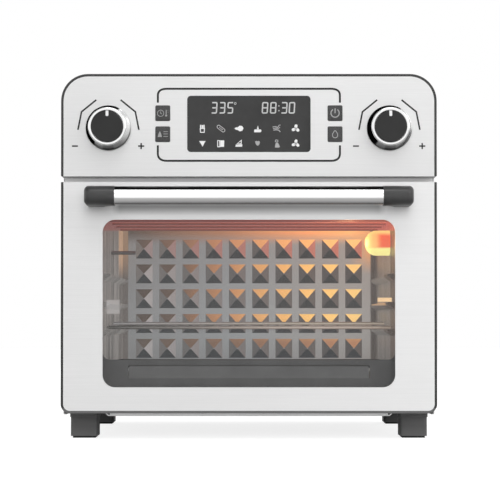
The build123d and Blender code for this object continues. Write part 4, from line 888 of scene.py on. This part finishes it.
FAN_SIGN = [*((spun(BLADE, angle),) for angle in (0, 120, 240)), (arc(1.1, 0, 330, 12),)]
STADIUM = np.concatenate([arc(1.7, 90, 270, 9, (-3.0, 0)), arc(1.7, -90, 90, 9, (3.0, 0))])
SIGNS = [
    [([(-1.9, -4.0), (1.9, -4.0), (2.2, 0.2), (-2.2, 0.2)], 0.9, True),
     ([(-1.7, 0.6), (-1.7, 3.9)], 1.3), ([(0.0, 0.6), (0.0, 3.6)], 1.2),
     ([(1.7, 0.6), (1.7, 3.9)], 1.3)],
    [(spun(STADIUM, -38), 0.8, True), (spun([(-2.6, 0), (2.6, 0)], -38), 0.6)],
    [([(-4.8, 0), (-3.2, 1.4), (-1.8, 1.2), (0.6, 3.0), (3.2, 2.6), (4.6, 0.4), (3.4, -2.2),
       (1.0, -3.0), (-1.8, -1.4), (-3.4, -1.2)],)],
    [([(-3.7, -3.9), (3.0, -3.9), (3.9, -2.4), (3.2, -0.9), (-3.4, -0.9), (-3.9, -2.6)],),
     ([(-0.9, -0.6), (1.1, -0.6), (0.5, 1.4), (0.2, 3.4), (-0.4, 1.4)],)],
    [(fillet([(-4.6, 1.6), (-1.6, 2.2), (0.8, 1.0), (2.2, 3.8), (3.6, 3.6)], 1.2), 0.7),
     (fillet([(-4.2, 0.0), (-1.2, 0.5), (1.8, 0.1), (3.0, 1.8)], 1.2), 0.7),
     (fillet([(-3.8, -1.6), (-0.6, -1.2), (2.0, -1.6), (3.4, -3.6)], 1.2), 0.9)],
    FAN_SIGN,
    [([(-3.4, 2.8), (3.4, 2.8), (1.9, 0.2), (0.3, -3.2), (-1.4, -0.4)],)],
    [([(-3.5, 3.3), (-1.4, 3.3), (-1.2, -3.2), (-3.4, -3.2)], 0.8, True),
     ([(-0.7, 3.5), (3.1, 3.5), (3.4, 2.8), (3.2, -3.3), (-0.7, -3.3)],)],
    [([(-3.8, -3.2), (3.2, -3.2), (3.4, -0.6), (-3.6, -0.9)],),
     ([(-2.2, -0.2), (2.2, 0.0), (2.4, 3.6)], 0.9, True)],
    [([(-2.8, 2.4), (-1.4, 3.0), (-0.2, 2.4), (1.0, 3.0), (2.2, 2.0), (1.7, -0.6), (0.2, -2.2),
       (-1.2, -1.6), (-2.4, 0.4)],)],
    [([(-1.2, 4.0), (0.8, 3.6), (0.9, 2.0), (-0.8, 1.6), (-1.9, 2.6)], 0.7, True),
     ([(-2.2, -3.9), (1.6, -4.1), (3.2, -3.4), (1.4, 0.2), (0.6, 1.2), (-1.4, 0.6),
       (-1.8, -1.2)],)],
    FAN_SIGN,
]
# Columns are counted in the photograph's pixels, rows in millimetres over the worktop.
SIGN_COLUMNS = (202.4, 221.0, 239.1, 257.8, 277.0, 295.7)
SIGN_ROWS = (324.5, 308.7)
MIDDLE_COLUMN, PIXEL = 248.9, 1.0442  # the oven's middle, and millimetres for one pixel


def drawn(shapes, origin, ink=INK):
    """The sheets of one sign."""
    return [line(points, pen_line[0], origin, *pen_line[1:], ink=ink) if pen_line
            else patch(points, origin, ink=ink) for points, *pen_line in shapes]


FAINT_SIGNS = (1, 4, 9, 10)  # the roll, the joint, the heart and the bottle shine less
bright = []
for index, shapes in enumerate(SIGNS):
    x = (SIGN_COLUMNS[index % 6] - MIDDLE_COLUMN) * PIXEL
    (faint if index in FAINT_SIGNS else bright).extend(
        drawn(shapes, [x, glass_face, SIGN_ROWS[index // 6]]))
shell("display_signs", bright, "white_ink", "housing")
shell("display_faint_signs", faint, "faint_ink", "housing")

# Keys: a soft-edged cap over each packed button, with its sign printed on it.
KEY_SIGNS = {
    "power": [(arc(4.3, 122, 418, 32), 1.15), ([(0, -0.2), (0, 4.9)], 1.15)],
    "lamp": [(fillet([(-0.6, 3.6), (-2.6, 0.4), (-2.7, -2.2), (-1.4, -3.8), (1.4, -3.8),
                      (2.7, -2.2), (2.6, 0.4), (0.6, 3.6)], 0.9, True), 0.75, True)],
    "mode": [(arc(3.3, 0, 345, 24, (-2.2, -0.2)), 0.6, True),
             ([(-2.2, 1.8), (-2.2, -0.2), (-0.8, -1.0)], 0.6),
             ([(3.6, 3.4), (3.6, -1.4)], 0.9),
             (arc(1.1, 0, 330, 10, (3.6, -2.6)),),
             ([(5.2, 2.6), (5.9, 2.6)], 0.5), ([(5.2, 0.8), (5.9, 0.8)], 0.5)],
    "preheat": [([(-5.2, -3.0), (-0.8, -3.0), (-1.6, 0.2), (-3.0, 3.2), (-4.4, 0.2)],),
                *(([(0.8, z), (5.4, z)], 0.6) for z in (2.6, 0.2, -2.4))],
}
for key, shapes in KEY_SIGNS.items():
    low = span("button_" + key)[0]
    width, height = 15.2, 16.0
    centre = middle("button_" + key)
    centre[1] = panel_face
    proud = panel_face - low[1]
    body = key + "_key"
    edge = [(-2.0, 0.0)] + [(proud - 0.5 + 0.5 * math.sin(t), 0.5 * (1 - math.cos(t)))
                            for t in np.linspace(0, math.pi / 2, 5)]
    cap = shell("key_cap_" + key, [pad(centre, width, height, 1.5, edge)], "key_black", body)
    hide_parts("button_" + key)
    shell("key_sign_" + key, drawn(shapes, [centre[0], low[1], centre[2]], (-0.05, 0.03)),
          "key_ink", body)


# ---------------------------------------------------------------- door and handle

door_face = span("door_skin")[0][1]

low, high = span("handle_bar")
bar_centre = (low + high) / 2
bar_radius = (high[2] - low[2]) / 2


BRACKET_LENGTH = 31.3


def bracket(side):
    """A handle bracket: rounded rectangles stacked from the door outwards, each at a level
    (setback, inner end, outer end, inset above and below, outer corners' radius)."""
    low, high = span("handle_end_" + side)
    sign = -1 if side == "left" else 1
    height, half = (low[2] + high[2]) / 2, (high[2] - low[2]) / 2
    outer = max(abs(low[0]), abs(high[0]))
    inner = outer - BRACKET_LENGTH
    levels = [(0.0, 13.2, 0.7, 1.2, 3.0), (-1.0, 13.2, 0.0, 0.4, 3.5),
              (-12.0, 12.0, 0.0, 0.0, 4.0), (-18.0, 9.0, 0.0, 0.0, 4.0),
              (-21.5, 4.0, 0.0, 0.0, 4.5), (-23.0, 0.0, 0.0, 0.0, 5.0),
              (-33.0, 0.0, 0.0, 0.0, 5.0), (-37.0, 0.0, 0.8, 1.0, 4.5),
              (-39.6, 0.0, 2.2, 2.6, 4.0), (-41.4, 0.0, 4.2, 4.8, 3.2),
              (-42.0, 0.0, 6.0, 6.6, 2.4)]
    rows = []
    for setback, in_cut, out_cut, inset, radius in levels:
        start, end = inner + in_cut, outer - out_cut
        corners = np.array([radius, 0.3, 0.3, radius])
        loop = rounded_loop(end - start, 2 * (half - inset), corners, 6)
        rows.append(np.stack([sign * (loop[:, 0] + (start + end) / 2),
                              np.full(len(loop), door_face + setback),
                              loop[:, 1] + height], 1))
    made = shell("handle_bracket_" + side, [closed_off(rows)], "black_plastic", "door",
                 40)
    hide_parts("handle_end_" + side)


bracket("left")
bracket("right")
tube = shell("handle_tube", [bar([low[0] + 1.2, bar_centre[1], bar_centre[2]],
                                 [high[0] - 1.2, bar_centre[1], bar_centre[2]], bar_radius, 72,
                                 0.02)],
             "tube_chrome", "door")
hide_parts("handle_bar")


# A bright strip on the front frame, seen in the gap between the door and the panel, which glows a
# little as painted light in the gap.
frame_face = span("front_frame")[0][1]
gap_low, gap_high = span("door_skin")[1][2], span("control_fascia")[0][2]
strip = np.array([0, frame_face, (gap_low + gap_high) / 2])
shell("gap_strip", [pad(strip, 389.0, 13.0, 1.0, [(-0.3, 0), (0.6, 0), (0.9, 0.3)])],
      "gap_steel", "housing")

# The base pan's folded front edge, a pale strip under the door between the feet, which glows a
# little as painted light.
pan_low = span("base_pan")[0]
fold = np.array([0, pan_low[1], pan_low[2] + 2.0])
shell("base_fold", [pad(fold, 294.0, 4.0, 0.6, [(-0.4, 0), (1.7, 0), (1.9, 0.2)])],
      "gap_steel", "housing")


# ---------------------------------------------------------------- inside the cavity

# The rack: a rounded rim, a front bar and wires with round sections.
low, high = span("wire_rack")
rim_radius, wire_radius, bar_radius_front = 1.9, 1.1, 1.7
rack_middle = (low + high) / 2
rim = rounded_loop(high[0] - low[0] - 2 * rim_radius, high[1] - low[1] - 2 * rim_radius, 13.0, 9)
rim = rim[:-1] + rack_middle[:2]
rim_height = 117.0
rim = np.column_stack([rim, np.full(len(rim), rim_height)])
rods = [hose(rim, rim_radius)]
front, back = low[1] + rim_radius, high[1] - rim_radius
wire_height = rim_height + rim_radius + wire_radius - 0.2
wires, wire_pitch = 15, 18.5
for x in (np.arange(wires) - wires // 2) * wire_pitch:
    rods.append(bar([x, front, wire_height], [x, back, wire_height], wire_radius, 10))
for y in np.linspace(front, back, 4)[1:-1]:
    rods.append(bar([low[0] + rim_radius, y, rim_height], [high[0] - rim_radius, y, rim_height],
                    wire_radius * 1.3, 10))
bar_height = 121.2
rods.append(bar([low[0] + 8, front, bar_height], [high[0] - 8, front, bar_height],
                bar_radius_front, 16))
rack = shell("rack_rods", rods, "wire_chrome", "rack")
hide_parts("wire_rack")

# Heater rods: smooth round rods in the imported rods' places, counted from the cavity's front.
CAVITY_FRONT = -152.0
for which, places in (("upper", (95.0, 152.7, 210.4, 268.1)), ("lower", (84.0, 165.0, 246.0))):
    low, high = span(which + "_heaters")
    radius = (high[2] - low[2]) / 2
    height = (high[2] + low[2]) / 2
    rods = [bar([low[0], CAVITY_FRONT + setback, height],
                [high[0], CAVITY_FRONT + setback, height], radius, 20) for setback in places]
    heater = shell(which + "_rods", rods,
                   "glowing_rod" if which == "upper" else "cold_rod", "housing")
    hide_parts(which + "_heaters")


# The lamp's dome: a straight side that closes over a quarter ellipse.
low, high = span("lamp_glass")
dome_radius, dome_length, dome_end = (high[2] - low[2]) / 2, high[0] - low[0], 12.0
t = np.linspace(0, math.pi / 2, 14)
profile = ([(0, 0), (dome_radius - 0.3, 0), (dome_radius, 0.4)]
           + list(zip(dome_radius * np.cos(t), dome_length - dome_end + dome_end * np.sin(t))))
foot = middle("lamp_glass")
foot[0] = high[0]
dome = shell("lamp_dome", [turned(profile, foot, "left", 64)], "lit_glass",
             "housing")
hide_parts("lamp_glass")


# ---------------------------------------------------------------- studio

def studio_floor():
    """The worktop: a large flat square that reads white to the camera and keeps the shadow."""
    reach = 6000.0
    t = np.linspace(-reach, reach, 2)
    x, y = np.meshgrid(t, t)
    points = np.stack([x, y, np.zeros_like(x)], -1)
    mesh = bpy.data.meshes.new("worktop")
    mesh.from_pydata((points.reshape(-1, 3) * MM).tolist(), [], [(0, 1, 3, 2)])
    floor = placed("worktop", mesh)
    paper = Recipe("worktop_paper", 176, 0.9, Emission_Color=(1, 1, 1))
    seen = paper.node("LightPath").outputs["Is Camera Ray"]
    paper.put(Emission_Strength=paper.times(seen, 0.82))
    mesh.materials.append(paper.finish)


def studio_world():
    """White to the camera, to gloss and through glass; half as strong as a light on matt
    surfaces."""
    world = bpy.data.worlds.new("studio")
    bpy.context.scene.world = world
    world.use_nodes = True
    sky = Steps(world.node_tree)
    path = sky.node("LightPath").outputs
    seen = sky.sums("MAXIMUM", path["Is Camera Ray"], path["Is Transmission Ray"])
    seen = sky.sums("MAXIMUM", seen, path["Is Glossy Ray"])
    level = sky.between(seen, 0.0, 1.0, 0.5, 1.0)
    # The studio's dark ends, overhead and up to the left, which polished metal shows as dark
    # edges: how far a direction points at each, turned into a factor; the darker one counts.
    facing = sky.node("TexCoord").outputs["Generated"]
    ends = [sky.between(sky.arrow("DOT_PRODUCT", facing, aim, "Value"), edge, core, 1.0, 0.03)
            for aim, edge, core in (((0, 0, 1), 0.93, 0.955), ((-0.6, 0, 0.8), 0.80, 0.86))]
    shade = sky.node("Mix")
    sky.fill(shade, Factor=path["Is Glossy Ray"], A=1.0, B=sky.sums("MINIMUM", *ends))
    sky.fill(sky.tree.nodes["Background"], Color=(1, 1, 1),
             Strength=sky.times(level, shade.outputs["Result"]))


def lamp(name, place, aim, size, power):
    """A square soft white lamp that faces a point."""
    light = bpy.data.lights.new(name, "AREA")
    light.size = size
    light.energy = power
    holder = placed(name, light)
    holder.location = place
    towards = np.array(aim, float) - np.array(place, float)
    yaw = math.atan2(towards[1], towards[0])
    tilt = math.atan2(np.hypot(towards[0], towards[1]), -towards[2])
    holder.rotation_euler = (tilt, 0, yaw - math.pi / 2)
    return holder


def studio_camera():
    """The photograph's viewpoint: 1.7 m in front of the door and 120 mm up. Part of the drop
    of the horizon is shift and the rest a slight upward tilt."""
    camera = bpy.data.cameras.new("viewpoint")
    camera.lens = 117.5
    camera.sensor_width = 36.0
    camera.shift_x = 0.0022
    camera.shift_y = 0.099
    camera.clip_end = 50.0
    holder = placed("viewpoint", camera)
    holder.location = (0.0, -1.852, 0.120)
    holder.rotation_euler = (math.radians(90.88), 0, 0)
    bpy.context.scene.camera = holder


studio_floor()
studio_world()
lamp("overhead_soft", (0.1, -1.5, 1.9), (0, -0.1, 0.2), 1.0, 9)
lamp("front_soft", (0.1, -2.4, 0.75), (0, 0, 0.18), 0.7, 18.5).visible_glossy = False
lamp("right_soft", (2.2, -1.9, 1.3), (0, 0, 0.2), 1.6, 13)
lamp("rear_soft", (-1.2, 2.4, 1.3), (0, 0.2, 0.2), 1.2, 16).visible_glossy = False
bulb = bpy.data.lights.new("oven_bulb", "POINT")
bulb.energy = 0.06
bulb.color = (1.0, 0.62, 0.30)
bulb.shadow_soft_size = 0.012
place = middle("lamp_glass") * MM
place[0] = span("lamp_glass")[0][0] * MM - 0.016
placed("oven_bulb", bulb).location = place
studio_camera()
bpy.context.scene.view_settings.view_transform = "Standard"
